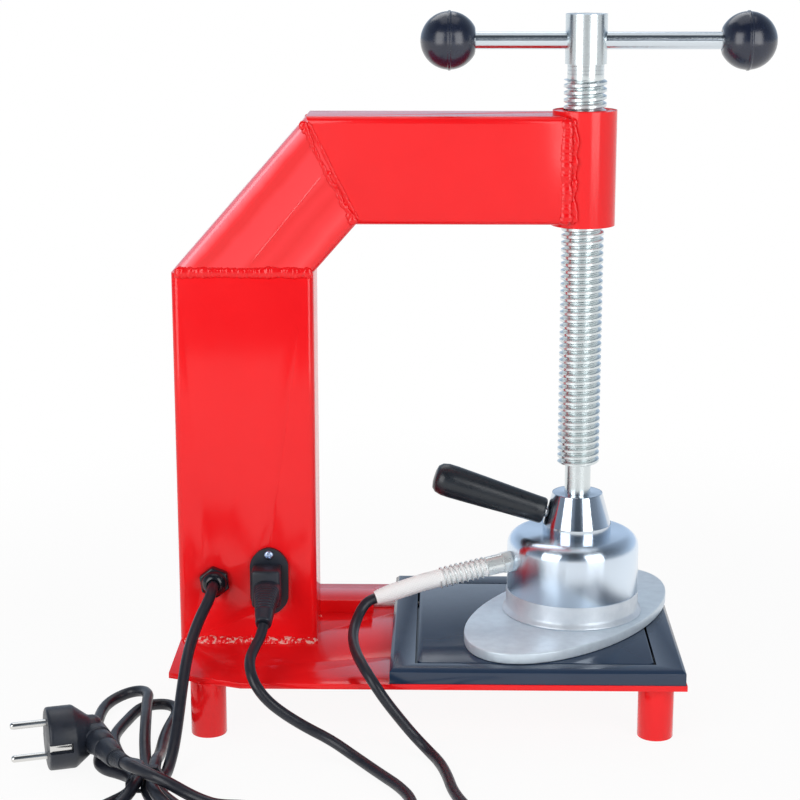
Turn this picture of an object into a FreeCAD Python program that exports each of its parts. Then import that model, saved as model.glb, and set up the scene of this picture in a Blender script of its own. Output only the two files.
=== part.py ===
import FreeCAD, Part
import math
import os

import Sketcher
from FreeCAD import Placement, Rotation, Vector

# Tire vulcanizing machine: a screw press that holds an electrically heated shoe on a patched tire.
# Millimetres, +Z up. The origin is the middle of the floor area under the machine without its cords.
# +X runs from the column towards the screw, -Y is the side with the inlet socket, and the
# column, arm, screw and platform share the plane Y = 0.

SIZES = {
    # base plate and legs
    "base_depth": 216,
    "base_thickness": 4,
    "corner_length": 52,
    "corner_depth": 19,
    "leg_diameter": 25,
    "leg_height": 40,
    "left_leg_inset": 27.5,
    "right_leg_inset": 19.5,
    "leg_depth_inset": 20,
    # welded frame of rectangular tube
    "column_width": 100,
    "tube_depth": 50,
    "tube_wall": 3,
    "tube_corner": 5,
    "column_height": 272,
    "arm_height": 75,
    "arm_top_height": 381,
    "arm_end_gap": 14,
    "boss_diameter": 45,
    "boss_overhang": 2,
    "weld_leg": 4,
    "weld_width": 7,
    "weld_crown": 1.3,
    # low cover of the platform's wires, behind the column
    "cover_start": 20,
    "cover_end": 139,
    "cover_front": 39,
    "cover_depth": 31,
    "cover_height": 10,
    "cover_wall": 1.5,
    "lead_diameter": 3.2,
    "lead_clearance": 0.2,
    "lead_sill": 0.4,
    "lead_rise": 6.6,
    # press screw and tommy bar
    "screw_offset": 289,
    "screw_diameter": 30,
    "thread_length": 275,
    "thread_pitch": 5,
    "thread_depth": 2.75,
    "screw_clearance": 0.4,
    "screw_neck_diameter": 25.5,
    "screw_neck_length": 10.6,
    "screw_head_diameter": 29,
    "screw_head_height": 33.6,
    "journal_diameter": 18.6,
    "journal_length": 22.3,
    "bar_diameter": 12,
    "bar_clearance": 0.15,
    "bar_free_length": 170,
    "bar_shift": 8.4,
    "bar_drop": 18,
    "bar_thread_length": 16,
    "knob_diameter": 40,
    "knob_flat": 18,
    "knob_ridge": 0.6,
    "knob_ridge_width": 2.4,
    # heating head
    "collar_foot_diameter": 49.6,
    "collar_foot_height": 6.5,
    "collar_top_diameter": 36.2,
    "collar_cone_height": 23.2,
    "running_clearance": 0.1,
    "seat_clearance": 0.2,
    "tip_length": 6.6,
    "ring_groove_depth": 1.6,
    "ring_thickness": 2,
    "ring_width": 4,
    "ring_foot": 2.6,
    "ring_lift": 0.6,
    "washer_diameter": 23.6,
    "washer_thickness": 3,
    "head_shift": 2.6,
    "cap_diameter": 95.6,
    "cap_height": 43,
    "cap_wall": 2,
    "cap_shoulder": 10,
    "heater_body_diameter": 96.6,
    "heater_body_foot_diameter": 102,
    "heater_body_height": 16.2,
    "flare": 2.5,
    "spigot_height": 5,
    "head_heater_diameter": 82,
    "head_heater_thickness": 3,
    "head_screw_circle": 37,
    "head_screw_diameter": 5,
    "shoe_length": 220,
    "shoe_width": 116.4,
    "shoe_thickness": 7.6,
    "shoe_angle": 57.5,
    "shoe_shift": 5.4,
    "shoe_edge": 1,
    "shoe_gap": 0.2,
    "shoe_screw_spacing": 64,
    "shoe_screw_diameter": 6,
    # side handle of the head
    "handle_angle": 18,
    "handle_start": 21,
    "handle_length": 84,
    "handle_root_diameter": 17,
    "handle_end_diameter": 24,
    "handle_stud_diameter": 8,
    "handle_stud_inside": 8,
    "handle_stud_outside": 26,
    "handle_height": 7.2,
    "handle_recess": 4,
    # cable gland and sleeve of the head
    "gland_angle": 14.8,
    "gland_fall_angle": 9.5,
    "gland_height": 19.4,
    "gland_nut_across": 14.4,
    "gland_nut_length": 6,
    "gland_tube_diameter": 14,
    "gland_tube_length": 12,
    "sleeve_diameter": 13,
    "spring_wire": 1.2,
    "spring_length": 37,
    "spring_turns": 9,
    # lower platform
    "platform_start": 155,
    "platform_length": 204,
    "platform_end_gap": 1,
    "platform_depth": 206,
    "platform_height": 11,
    "platform_edge_height": 8.5,
    "platform_bevel": 2.5,
    "platform_front_inset": 0.6,
    "recess_rim_left": 17.5,
    "recess_rim_right": 19.5,
    "recess_rim_front": 11.5,
    "recess_rim_back": 19.5,
    "groove_width": 1.6,
    "lower_plate_thickness": 7,
    "lower_heater_thickness": 2.4,
    "heater_margin": 8,
    "platform_screw_inset": 9,
    "platform_screw_spacing": 100,
    "plate_screw_inset": 22,
    "small_screw_diameter": 5,
    "small_screw_head": 9,
    "small_screw_head_height": 3,
    "screw_engagement": 5,
    # inlet socket on the column
    "inlet_offset": 66,
    "inlet_height": 47,
    "flange_width": 27.7,
    "flange_height": 50,
    "flange_tip_width": 11,
    "flange_thickness": 3,
    "inlet_body_width": 22.5,
    "inlet_body_height": 30.5,
    "inlet_body_depth": 17,
    "inlet_recess_width": 17,
    "inlet_recess_height": 25,
    "inlet_recess_depth": 15,
    "inlet_corner": 5,
    "inlet_screw_spacing": 40,
    "inlet_screw_diameter": 3,
    "inlet_screw_head": 5.6,
    "blade_width": 2,
    "blade_height": 4,
    "blade_length": 12,
    "blade_tail": 5,
    "blade_spacing": 7,
    "blade_side_step": 2,
    # connector that plugs into the inlet
    "connector_gap": 0.25,
    "connector_width": 20,
    "connector_height": 28,
    "connector_body_length": 25,
    "connector_taper_length": 13,
    "connector_neck_diameter": 13,
    "connector_relief_length": 19,
    "connector_relief_angle": 40,
    # cords
    "head_cord_diameter": 7.5,
    "mains_cord_diameter": 8,
    # mains gland
    "gland_offset": 26.5,
    "mains_gland_height": 46.5,
    "mains_gland_diameter": 20,
    "mains_gland_length": 12,
    "mains_thread_diameter": 15.6,
    "mains_nut_across": 20,
    "mains_nut_thickness": 5,
    # mains plug
    "plug_angle": 18,
    "plug_face_diameter": 42.5,
    "plug_body_length": 18.5,
    "plug_shoulder_diameter": 26,
    "plug_shoulder_length": 9,
    "plug_hub_length": 10.5,
    "plug_neck_offset": 30,
    "plug_neck_turn": 78,
    "plug_neck_length": 46,
    "plug_neck_diameter": 21.6,
    "plug_neck_end_diameter": 13.8,
    "plug_relief_rise": 10,
    "plug_relief_length": 16,
    "plug_relief_diameter": 11.5,
    "plug_pin_spacing": 23.5,
    "plug_pin_diameter": 4.8,
    "plug_pin_length": 24,
    "plug_pin_root": 9,
    "earth_groove_width": 6.6,
    "earth_groove_depth": 3.2,
    "earth_clip_width": 4.4,
    "earth_clip_length": 15,
    "earth_clip_thickness": 0.8,
    # control panel on the column's far side
    "panel_width": 86,
    "panel_height": 176,
    "panel_thickness": 1.5,
    "panel_bottom": 66,
    "panel_opening_width": 66,
    "panel_opening_height": 160,
    "panel_screw_inset": 5,
    "panel_screw_diameter": 3,
    "panel_screw_head": 5.6,
    "timer_height": 128,
    "thermostat_height": 184,
    "dial_body_size": 40,
    "timer_body_depth": 24,
    "thermostat_body_depth": 20,
    "dial_shaft_diameter": 6,
    "dial_knob_diameter": 34,
    "dial_knob_height": 15,
    "dial_knob_gap": 1,
    "dial_grip_height": 8,
    "dial_grip_width": 7,
    "switch_height": 90,
    "switch_spacing": 36,
    "switch_flange_width": 21,
    "switch_flange_height": 30,
    "switch_flange_thickness": 2,
    "switch_body_width": 19,
    "switch_body_height": 27,
    "switch_body_depth": 17,
    "rocker_width": 14,
    "rocker_radius": 11,
    "rocker_rise": 3.4,
    "rocker_clearance": 0.4,
    "lamp_height": 226,
    "lamp_spacing": 36,
    "lamp_diameter": 12,
    "lamp_body_diameter": 10,
    "lamp_body_depth": 18,
    "panel_hole_clearance": 0.3,
    # terminal block and inner wires
    "terminal_length": 60,
    "terminal_height": 14,
    "terminal_depth": 12,
    "terminal_level": 96,
    "wire_diameter": 3,
}


class Size:
    """A length with the spreadsheet expression that it comes from."""

    def __init__(self, number, text):
        self.number = number
        self.text = text

    def __add__(self, other):
        return Size(self.number + sized(other).number, f"({self.text} + {sized(other).text})")

    def __sub__(self, other):
        return Size(self.number - sized(other).number, f"({self.text} - {sized(other).text})")

    def __mul__(self, other):
        return Size(self.number * sized(other).number, f"({self.text} * {sized(other).text})")

    def __truediv__(self, other):
        return Size(self.number / sized(other).number, f"({self.text} / {sized(other).text})")

    def __radd__(self, other):
        return sized(other) + self

    def __rsub__(self, other):
        return sized(other) - self

    def __rmul__(self, other):
        return sized(other) * self

    def __neg__(self):
        return Size(-self.number, f"(0 - {self.text})")


def sized(value):
    if isinstance(value, Size):
        return value
    return Size(value, repr(value))


def root(value):
    return Size(math.sqrt(value.number), f"sqrt({value.text})")


def whole(value):
    return Size(math.floor(value.number + 1e-9), f"floor({value.text} + 0.000001)")


def sine(angle):
    return Size(math.sin(math.radians(angle.number)), f"sin({angle.text} * 1 deg)")


def cosine(angle):
    return Size(math.cos(math.radians(angle.number)), f"cos({angle.text} * 1 deg)")


doc = FreeCAD.newDocument("vulcanizer")
sheet = doc.addObject("Spreadsheet::Sheet", "sizes")
for row, (word, number) in enumerate(SIZES.items(), 1):
    sheet.set(f"A{row}", word)
    sheet.set(f"B{row}", str(number))
    sheet.setAlias(f"B{row}", word)
doc.recompute()


class Sheet:
    """Gives every cell of the sheet as a Size, by its alias."""

    def __getattr__(self, word):
        return Size(SIZES[word], f"sizes.{word}")


s = Sheet()
nodes = []

UP = Vector(0, 0, 1)
DOWN = Vector(0, 0, -1)
RIGHT = Vector(1, 0, 0)
LEFT = Vector(-1, 0, 0)
FRONT = Vector(0, -1, 0)
BACK = Vector(0, 1, 0)


# Small builders

def bind(thing, **sizes):
    for name, value in sizes.items():
        setattr(thing, name, sized(value).number)
        if isinstance(value, Size):
            thing.setExpression(name, value.text)


def place(thing, x=0, y=0, z=0, rotation=Rotation()):
    where = Vector(sized(x).number, sized(y).number, sized(z).number)
    thing.Placement = Placement(where, rotation)
    for axis, value in zip("xyz", (x, y, z)):
        if isinstance(value, Size):
            thing.setExpression(f"Placement.Base.{axis}", value.text)


def towards(direction):
    return Rotation(UP, direction)


def keep(thing, label):
    """Names a finished sub-part, which its file is named after."""
    thing.Label = label
    nodes.append(thing)
    return thing


def box(corner, sides, rotation=Rotation()):
    thing = doc.addObject("Part::Box", "block")
    bind(thing, Length=sides[0], Width=sides[1], Height=sides[2])
    place(thing, *corner, rotation)
    return thing


def middle_box(centre, sides):
    corner = [at - side / 2 for at, side in zip(centre, map(sized, sides))]
    return box(corner, sides)


def cylinder(foot, radius, height, direction=UP):
    thing = doc.addObject("Part::Cylinder", "rod")
    bind(thing, Radius=radius, Height=height)
    place(thing, *foot, towards(direction))
    return thing


def cone(foot, radius, top_radius, height, direction=UP):
    thing = doc.addObject("Part::Cone", "taper")
    bind(thing, Radius1=radius, Radius2=top_radius, Height=height)
    place(thing, *foot, towards(direction))
    return thing


def hexagon(foot, across, height, direction=UP):
    thing = doc.addObject("Part::Prism", "hexagon")
    thing.Polygon = 6
    bind(thing, Circumradius=across / math.sqrt(3), Height=height)
    place(thing, *foot, towards(direction))
    return thing


def cut(base, *tools):
    thing = doc.addObject("Part::Cut", "cut")
    thing.Base = base
    thing.Tool = tools[0] if len(tools) == 1 else fused(*tools)
    return thing


def fused(*pieces):
    thing = doc.addObject("Part::MultiFuse", "joined")
    thing.Shapes = list(pieces)
    return thing


def common(*pieces):
    thing = doc.addObject("Part::MultiCommon", "shared")
    thing.Shapes = list(pieces)
    return thing


def group(pieces):
    thing = doc.addObject("Part::Compound", "set")
    thing.Links = list(pieces)
    return thing


def ring(foot, outer, inner, height, direction=UP):
    return cut(cylinder(foot, outer, height, direction), cylinder(foot, inner, height, direction))


def plane(body, role):
    return next(item for item in body.Origin.OriginFeatures if item.Role == role)


def outline(body, role, points):
    """A closed sketch through the points, each held by its two distances from the origin."""
    sketch = body.newObject("Sketcher::SketchObject", "outline")
    sketch.AttachmentSupport = [(plane(body, role), "")]
    sketch.MapMode = "FlatFace"
    corners = [(sized(across), sized(along)) for across, along in points]
    spots = [Vector(across.number, along.number, 0) for across, along in corners]
    count = len(spots)
    for i in range(count):
        sketch.addGeometry(Part.LineSegment(spots[i], spots[(i + 1) % count]), False)
    for i in range(count):
        sketch.addConstraint(Sketcher.Constraint("Coincident", i, 2, (i + 1) % count, 1))
    for i, (across, along) in enumerate(corners):
        for kind, size in (("DistanceX", across), ("DistanceY", along)):
            held = sketch.addConstraint(Sketcher.Constraint(kind, -1, 1, i, 1, size.number))
            sketch.setExpression(f"Constraints[{held}]", size.text)
    return sketch


def circles(body, role, centres, radius):
    """A sketch of equal circles."""
    sketch = body.newObject("Sketcher::SketchObject", "holes")
    sketch.AttachmentSupport = [(plane(body, role), "")]
    sketch.MapMode = "FlatFace"
    for i, centre in enumerate(centres):
        across, along = map(sized, centre)
        spot = Vector(across.number, along.number, 0)
        sketch.addGeometry(Part.Circle(spot, Vector(0, 0, 1), sized(radius).number), False)
        held = sketch.addConstraint(Sketcher.Constraint("Radius", i, sized(radius).number))
        sketch.setExpression(f"Constraints[{held}]", sized(radius).text)
        for kind, size in (("DistanceX", across), ("DistanceY", along)):
            held = sketch.addConstraint(Sketcher.Constraint(kind, -1, 1, i, 3, size.number))
            sketch.setExpression(f"Constraints[{held}]", size.text)
    return sketch


def pad(body, sketch, length, symmetric=False):
    feature = body.newObject("PartDesign::Pad", "pad")
    feature.Profile = sketch
    feature.Midplane = symmetric
    bind(feature, Length=length)
    doc.recompute()
    return feature


def pocket(body, sketch, length, symmetric=False, reverse=False):
    """Cuts the sketch out of the body and makes sure that it did."""
    before = body.Shape.Volume
    feature = body.newObject("PartDesign::Pocket", "pocket")
    feature.Profile = sketch
    feature.Midplane = symmetric
    feature.Reversed = reverse
    bind(feature, Length=length)
    doc.recompute()
    if body.Shape.Volume > before - 1e-6:
        raise ValueError(f"a pocket in {body.Label} cuts nothing")
    return feature


def slab(role, points, length, symmetric=False):
    """A body padded from one closed outline."""
    body = doc.addObject("PartDesign::Body", "slab")
    pad(body, outline(body, role, points), length, symmetric)
    return body


def turned(points):
    """A body turned about its Z axis from a profile of radius and height."""
    body = doc.addObject("PartDesign::Body", "turned")
    profile = outline(body, "XZ_Plane", points)
    feature = body.newObject("PartDesign::Revolution", "turning")
    feature.Profile = profile
    feature.ReferenceAxis = (profile, ["V_Axis"])
    feature.Angle = 360
    doc.recompute()
    return body


def round_edges(body, radius, wanted):
    """Rounds those edges of a body that the test wanted(edge) picks."""
    last = body.Tip
    picked = [f"Edge{i}" for i, edge in enumerate(last.Shape.Edges, 1) if wanted(edge)]
    feature = body.newObject("PartDesign::Fillet", "rounding")
    feature.Base = (last, picked)
    bind(feature, Radius=radius)
    doc.recompute()
    return feature


def along(direction):
    """Tests that an edge is straight and runs along a direction."""
    def test(edge):
        if edge.Curve.TypeId != "Part::GeomLine":
            return False
        return abs(edge.tangentAt(edge.FirstParameter).dot(direction)) > 0.9999
    return test


# Sizes that several pieces share

reach = s.screw_offset + s.bar_shift + s.bar_free_length / 2 + s.knob_flat + s.knob_diameter / 2
left = -reach / 2
axis_x = left + s.screw_offset
base_top = s.leg_height + s.base_thickness
half_depth = s.base_depth / 2
front_face = -s.tube_depth / 2
back_face = s.tube_depth / 2
column_top = base_top + s.column_height
arm_top = base_top + s.arm_top_height
arm_bottom = arm_top - s.arm_height
run_per_rise = root(s.column_width * s.column_width - s.arm_height * s.arm_height) / s.arm_height
mitre_top = (arm_top - column_top) * run_per_rise
mitre_bottom = s.column_width + (arm_bottom - column_top) * run_per_rise
arm_end = s.screw_offset - s.arm_end_gap
boss_bottom = arm_bottom - s.boss_overhang
boss_height = s.arm_height + 2 * s.boss_overhang

platform_top = base_top + s.platform_height
shoe_bottom = platform_top + s.shoe_gap
shoe_top = shoe_bottom + s.shoe_thickness
cap_bottom = shoe_top + s.heater_body_height
cap_top = cap_bottom + s.cap_height
cone_bottom = cap_top + s.collar_foot_height
cone_top = cone_bottom + s.collar_cone_height
washer_bottom = cap_top + s.seat_clearance
tip_bottom = washer_bottom + s.washer_thickness + s.seat_clearance
journal_top = cone_top + s.journal_length
thread_turns = whole(s.thread_length / s.thread_pitch)
thread_top = journal_top + s.thread_length
head_bottom = thread_top + s.screw_neck_length
head_top = head_bottom + s.screw_head_height
bar_level = head_top - s.bar_drop

platform_left = left + s.platform_start
base_length = s.platform_start + s.platform_length + s.platform_end_gap
platform_front = -half_depth + s.platform_front_inset
head_x = axis_x - s.head_shift
panel_middle = left + s.column_width / 2


# Frame

def make_base_plate():
    body = doc.addObject("PartDesign::Body", "plate")
    corners = [
        (s.corner_length, -half_depth),
        (base_length, -half_depth),
        (base_length, half_depth),
        (s.corner_length, half_depth),
        (0, half_depth - s.corner_depth),
        (0, s.corner_depth - half_depth),
    ]
    pad(body, outline(body, "XY_Plane", corners), s.base_thickness)
    spots = [(x - left, y) for x, y in rim_screw_spots() + plate_screw_spots()]
    holes = circles(body, "XY_Plane", spots, s.small_screw_diameter / 2 + s.panel_hole_clearance)
    pocket(body, holes, s.base_thickness, reverse=True)
    place(body, left, 0, s.leg_height)
    keep(body, "base_plate")


def make_legs():
    legs = []
    for x in (left + s.left_leg_inset, left + base_length - s.right_leg_inset):
        for side in (-1, 1):
            y = side * (half_depth - s.leg_depth_inset)
            legs.append(cylinder((x, y, 0), s.leg_diameter / 2, s.leg_height))
    keep(group(legs), "base_legs")


def make_column():
    body = doc.addObject("PartDesign::Body", "column")
    outer = [
        (0, front_face),
        (s.column_width, front_face),
        (s.column_width, back_face),
        (0, back_face),
    ]
    inner = [
        (s.tube_wall, front_face + s.tube_wall),
        (s.column_width - s.tube_wall, front_face + s.tube_wall),
        (s.column_width - s.tube_wall, back_face - s.tube_wall),
        (s.tube_wall, back_face - s.tube_wall),
    ]
    pad(body, outline(body, "XY_Plane", outer), s.column_height)
    round_edges(body, s.tube_corner, along(UP))
    pocket(body, outline(body, "XY_Plane", inner), s.column_height, reverse=True)
    # front wall: inlet, its two screws and the mains gland
    gap = s.panel_hole_clearance
    half_width = s.inlet_body_width / 2 + gap
    half_height = s.inlet_body_height / 2 + gap
    opening = [
        (s.inlet_offset - half_width, s.inlet_height - half_height),
        (s.inlet_offset + half_width, s.inlet_height - half_height),
        (s.inlet_offset + half_width, s.inlet_height + half_height),
        (s.inlet_offset - half_width, s.inlet_height + half_height),
    ]
    pocket(body, outline(body, "XZ_Plane", opening), s.tube_depth, reverse=True)
    screws = [(s.inlet_offset, s.inlet_height + side * s.inlet_screw_spacing / 2) for side in (-1, 1)]
    small = circles(body, "XZ_Plane", screws, s.inlet_screw_diameter / 2 + gap)
    pocket(body, small, s.tube_depth, reverse=True)
    gland = [(s.gland_offset, s.mains_gland_height)]
    pocket(body, circles(body, "XZ_Plane", gland, s.mains_thread_diameter / 2 + gap), s.tube_depth, reverse=True)
    # far wall: panel opening, panel screws and the way out for the platform's lead
    middle = s.column_width / 2
    bottom = s.panel_bottom + (s.panel_height - s.panel_opening_height) / 2
    opening = [
        (middle - s.panel_opening_width / 2, bottom),
        (middle + s.panel_opening_width / 2, bottom),
        (middle + s.panel_opening_width / 2, bottom + s.panel_opening_height),
        (middle - s.panel_opening_width / 2, bottom + s.panel_opening_height),
    ]
    pocket(body, outline(body, "XZ_Plane", opening), s.tube_depth)
    spots = [(x - left, z - base_top) for x, z in panel_screw_spots()]
    pocket(body, circles(body, "XZ_Plane", spots, s.panel_screw_diameter / 2 + gap), s.tube_depth)
    lead = [(lead_x - left, lead_exit_level - base_top)]
    pocket(body, circles(body, "XZ_Plane", lead, s.lead_diameter / 2 + s.lead_clearance), s.tube_depth)
    place(body, left, 0, base_top)
    keep(body, "column_tube")


def hollow_section(outer, inner, direction):
    """A tube seen from the side, its long edges rounded and its inside cut right through."""
    body = slab("XZ_Plane", outer, s.tube_depth, symmetric=True)
    round_edges(body, s.tube_corner, along(direction))
    pocket(body, outline(body, "XZ_Plane", inner), s.tube_depth - 2 * s.tube_wall, symmetric=True)
    place(body, left, 0, 0)
    return body


def mitre_point(share):
    """A point of the mitre's line, from its top at 0 to its bottom at 1."""
    return (mitre_top + (mitre_bottom - mitre_top) * share, arm_top - s.arm_height * share)


def make_diagonal():
    wall_run = s.tube_wall * s.column_width / s.arm_height
    outer = [(0, column_top), (s.column_width, column_top), mitre_point(sized(1)), mitre_point(sized(0))]
    inner = [
        (wall_run, column_top),
        (s.column_width - wall_run, column_top),
        mitre_point(1 - s.tube_wall / s.arm_height),
        mitre_point(s.tube_wall / s.arm_height),
    ]
    direction = Vector(run_per_rise.number, 0, 1).normalize()
    keep(hollow_section(outer, inner, direction), "diagonal_tube")


def make_arm():
    outer = [mitre_point(sized(0)), mitre_point(sized(1)), (arm_end, arm_bottom), (arm_end, arm_top)]
    inner = [
        mitre_point(s.tube_wall / s.arm_height),
        mitre_point(1 - s.tube_wall / s.arm_height),
        (arm_end, arm_bottom + s.tube_wall),
        (arm_end, arm_top - s.tube_wall),
    ]
    tube = hollow_section(outer, inner, RIGHT)
    saddle = cylinder((axis_x, 0, boss_bottom), s.boss_diameter / 2, boss_height)
    keep(cut(tube, saddle), "arm_tube")


def make_nut_boss():
    foot = (axis_x, 0, boss_bottom)
    bore = s.screw_diameter / 2 + s.screw_clearance
    keep(ring(foot, s.boss_diameter / 2, bore, boss_height), "nut_boss")


def strip_bead(points, side):
    """A flat bead on the front or far face of the frame, from an outline in the XZ plane."""
    body = slab("XZ_Plane", points, s.weld_crown)
    place(body, left, front_face if side < 0 else back_face + s.weld_crown, 0)
    return body


def make_welds():
    beads = []
    half = s.weld_width / 2
    along_mitre = (mitre_bottom - mitre_top) / s.arm_height
    for side in (-1, 1):
        # foot of the column
        face = side * s.tube_depth / 2
        corner = [
            (face, base_top),
            (face + side * s.weld_leg, base_top),
            (face, base_top + s.weld_leg),
        ]
        bead = slab("YZ_Plane", corner, s.column_width)
        place(bead, left, 0, 0)
        beads.append(bead)
        # top of the column
        band = [
            (s.tube_corner, column_top - half),
            (s.column_width, column_top - half),
            (s.column_width, column_top + half),
            (s.tube_corner + half, column_top + half),
        ]
        beads.append(strip_bead(band, side))
        # mitre between slanted tube and arm
        top = arm_top - s.tube_corner
        bottom = arm_bottom + s.tube_corner
        top_x = mitre_top + s.tube_corner * along_mitre
        bottom_x = mitre_bottom - s.tube_corner * along_mitre
        band = [(top_x - half, top), (bottom_x - half, bottom), (bottom_x + half, bottom), (top_x + half, top)]
        beads.append(strip_bead(band, side))
        # arm's side wall to the nut boss
        fill = [
            (arm_end, side * s.tube_depth / 2),
            (arm_end + s.arm_end_gap * 0.7, side * s.boss_diameter / 2),
            (arm_end + s.arm_end_gap * 0.7, 0),
            (arm_end, 0),
        ]
        block = slab("XY_Plane", fill, s.arm_height)
        place(block, left, 0, arm_bottom)
        saddle = cylinder((axis_x, 0, boss_bottom), s.boss_diameter / 2, boss_height)
        beads.append(cut(block, saddle))
    keep(group(beads), "weld_beads")


# Cover and lead of the lower platform

lead_level = base_top + s.lead_sill + s.lead_clearance + s.lead_diameter / 2
lead_exit_level = base_top + s.lead_rise
lead_x = left + s.cover_start + s.cover_depth / 2
lead_line_y = s.cover_front + s.cover_depth / 2


def make_wire_cover():
    length = s.cover_end - s.cover_start
    inside = length - 2 * s.cover_wall
    corner = (left + s.cover_start, s.cover_front, base_top)
    shell = box(corner, (length, s.cover_depth, s.cover_height))
    hollow_corner = (left + s.cover_start + s.cover_wall, s.cover_front + s.cover_wall, base_top)
    hollow = box(hollow_corner, (inside, s.cover_depth - 2 * s.cover_wall, s.cover_height - s.cover_wall))
    hole = s.lead_diameter / 2 + s.lead_clearance
    way_in = cylinder((lead_x, s.cover_front, lead_exit_level), hole, s.cover_wall, BACK)
    way_out = cylinder((left + s.cover_end - s.cover_wall, lead_line_y, lead_level), hole, s.cover_wall, RIGHT)
    keep(cut(shell, hollow, way_in, way_out), "wire_cover")


# Lower platform

def rim_screw_spots():
    inset = s.platform_screw_inset
    middle = platform_front + s.platform_depth / 2
    return [
        (platform_left + x, middle + side * s.platform_screw_spacing / 2)
        for x in (inset, s.platform_length - inset)
        for side in (-1, 1)
    ]


def recess_box(shrink):
    """Corner and sides of the recess for the heating plate, smaller by shrink all round."""
    corner = (
        platform_left + s.recess_rim_left + shrink,
        platform_front + s.recess_rim_front + shrink,
    )
    sides = (
        s.platform_length - s.recess_rim_left - s.recess_rim_right - 2 * shrink,
        s.platform_depth - s.recess_rim_front - s.recess_rim_back - 2 * shrink,
    )
    return corner, sides


def plate_screw_spots():
    corner, sides = recess_box(s.plate_screw_inset)
    return [
        (corner[0] + share_x * sides[0], corner[1] + share_y * sides[1])
        for share_x in (0, 1)
        for share_y in (0, 1)
    ]


def make_platform_frame():
    length = s.platform_length
    depth = s.platform_depth
    lower = box((platform_left, platform_front, base_top), (length, depth, s.platform_edge_height))
    bevel = doc.addObject("Part::Wedge", "bevel")
    bind(bevel, Xmin=0, Ymin=0, Zmin=0, X2min=s.platform_bevel, Z2min=s.platform_bevel)
    bind(bevel, Xmax=length, Zmax=depth, Ymax=s.platform_height - s.platform_edge_height)
    bind(bevel, X2max=length - s.platform_bevel, Z2max=depth - s.platform_bevel)
    level = base_top + s.platform_edge_height
    place(bevel, platform_left, platform_front + depth, level, Rotation(RIGHT, 90))
    corner, sides = recess_box(sized(0))
    recess = box((*corner, base_top), (*sides, s.platform_height))
    holes = [
        cylinder((x, y, base_top), s.small_screw_diameter / 2, s.screw_engagement)
        for x, y in rim_screw_spots()
    ]
    hole = s.lead_diameter / 2 + s.lead_clearance
    way_in = cylinder((platform_left, lead_line_y, lead_level), hole, s.recess_rim_left, RIGHT)
    keep(cut(fused(lower, bevel), recess, way_in, *holes), "platform_frame")


def make_lower_plate():
    corner, sides = recess_box(s.groove_width)
    foot = platform_top - s.lower_plate_thickness
    block = slab(
        "XY_Plane",
        [(0, 0), (sides[0], 0), (sides[0], sides[1]), (0, sides[1])],
        s.lower_plate_thickness,
    )
    round_edges(block, s.groove_width * 3, along(UP))
    place(block, *corner, foot)
    holes = [
        cylinder((x, y, foot), s.small_screw_diameter / 2, s.screw_engagement)
        for x, y in plate_screw_spots()
    ]
    keep(cut(block, *holes), "lower_heating_plate")


def lead_notch():
    """Room in the heater and the sheet under it for the end of the lead."""
    wide = s.lead_diameter + 2 * s.lead_clearance
    corner, sides = recess_box(s.groove_width)
    reach_in = s.heater_margin * 2 + s.groove_width
    return box((corner[0], lead_line_y - wide / 2, base_top), (reach_in, wide, s.platform_height))


def make_lower_heater():
    corner, sides = recess_box(s.groove_width + s.heater_margin)
    foot = platform_top - s.lower_plate_thickness - s.lower_heater_thickness
    block = box((*corner, foot), (*sides, s.lower_heater_thickness))
    keep(cut(block, lead_notch(), *plate_screw_holes(foot)), "lower_heater")


def plate_screw_holes(foot):
    radius = s.small_screw_diameter / 2 + s.panel_hole_clearance
    return [cylinder((x, y, foot), radius, s.platform_height) for x, y in plate_screw_spots()]


def make_lower_insulation():
    corner, sides = recess_box(s.groove_width)
    thickness = s.platform_height - s.lower_plate_thickness - s.lower_heater_thickness
    block = box((*corner, base_top), (*sides, thickness))
    keep(cut(block, lead_notch(), *plate_screw_holes(base_top)), "lower_insulation")


def screw_from_below(x, y, length):
    head_foot = s.leg_height - s.small_screw_head_height
    head = cylinder((x, y, head_foot), s.small_screw_head / 2, s.small_screw_head_height)
    shank = cylinder((x, y, head_foot), s.small_screw_diameter / 2, s.small_screw_head_height + length)
    return fused(head, shank)


def make_platform_screws():
    short = s.base_thickness + s.screw_engagement
    long = short + s.platform_height - s.lower_plate_thickness
    screws = [screw_from_below(x, y, short) for x, y in rim_screw_spots()]
    screws += [screw_from_below(x, y, long) for x, y in plate_screw_spots()]
    keep(group(screws), "platform_screws")


# Press screw and tommy bar

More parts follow.
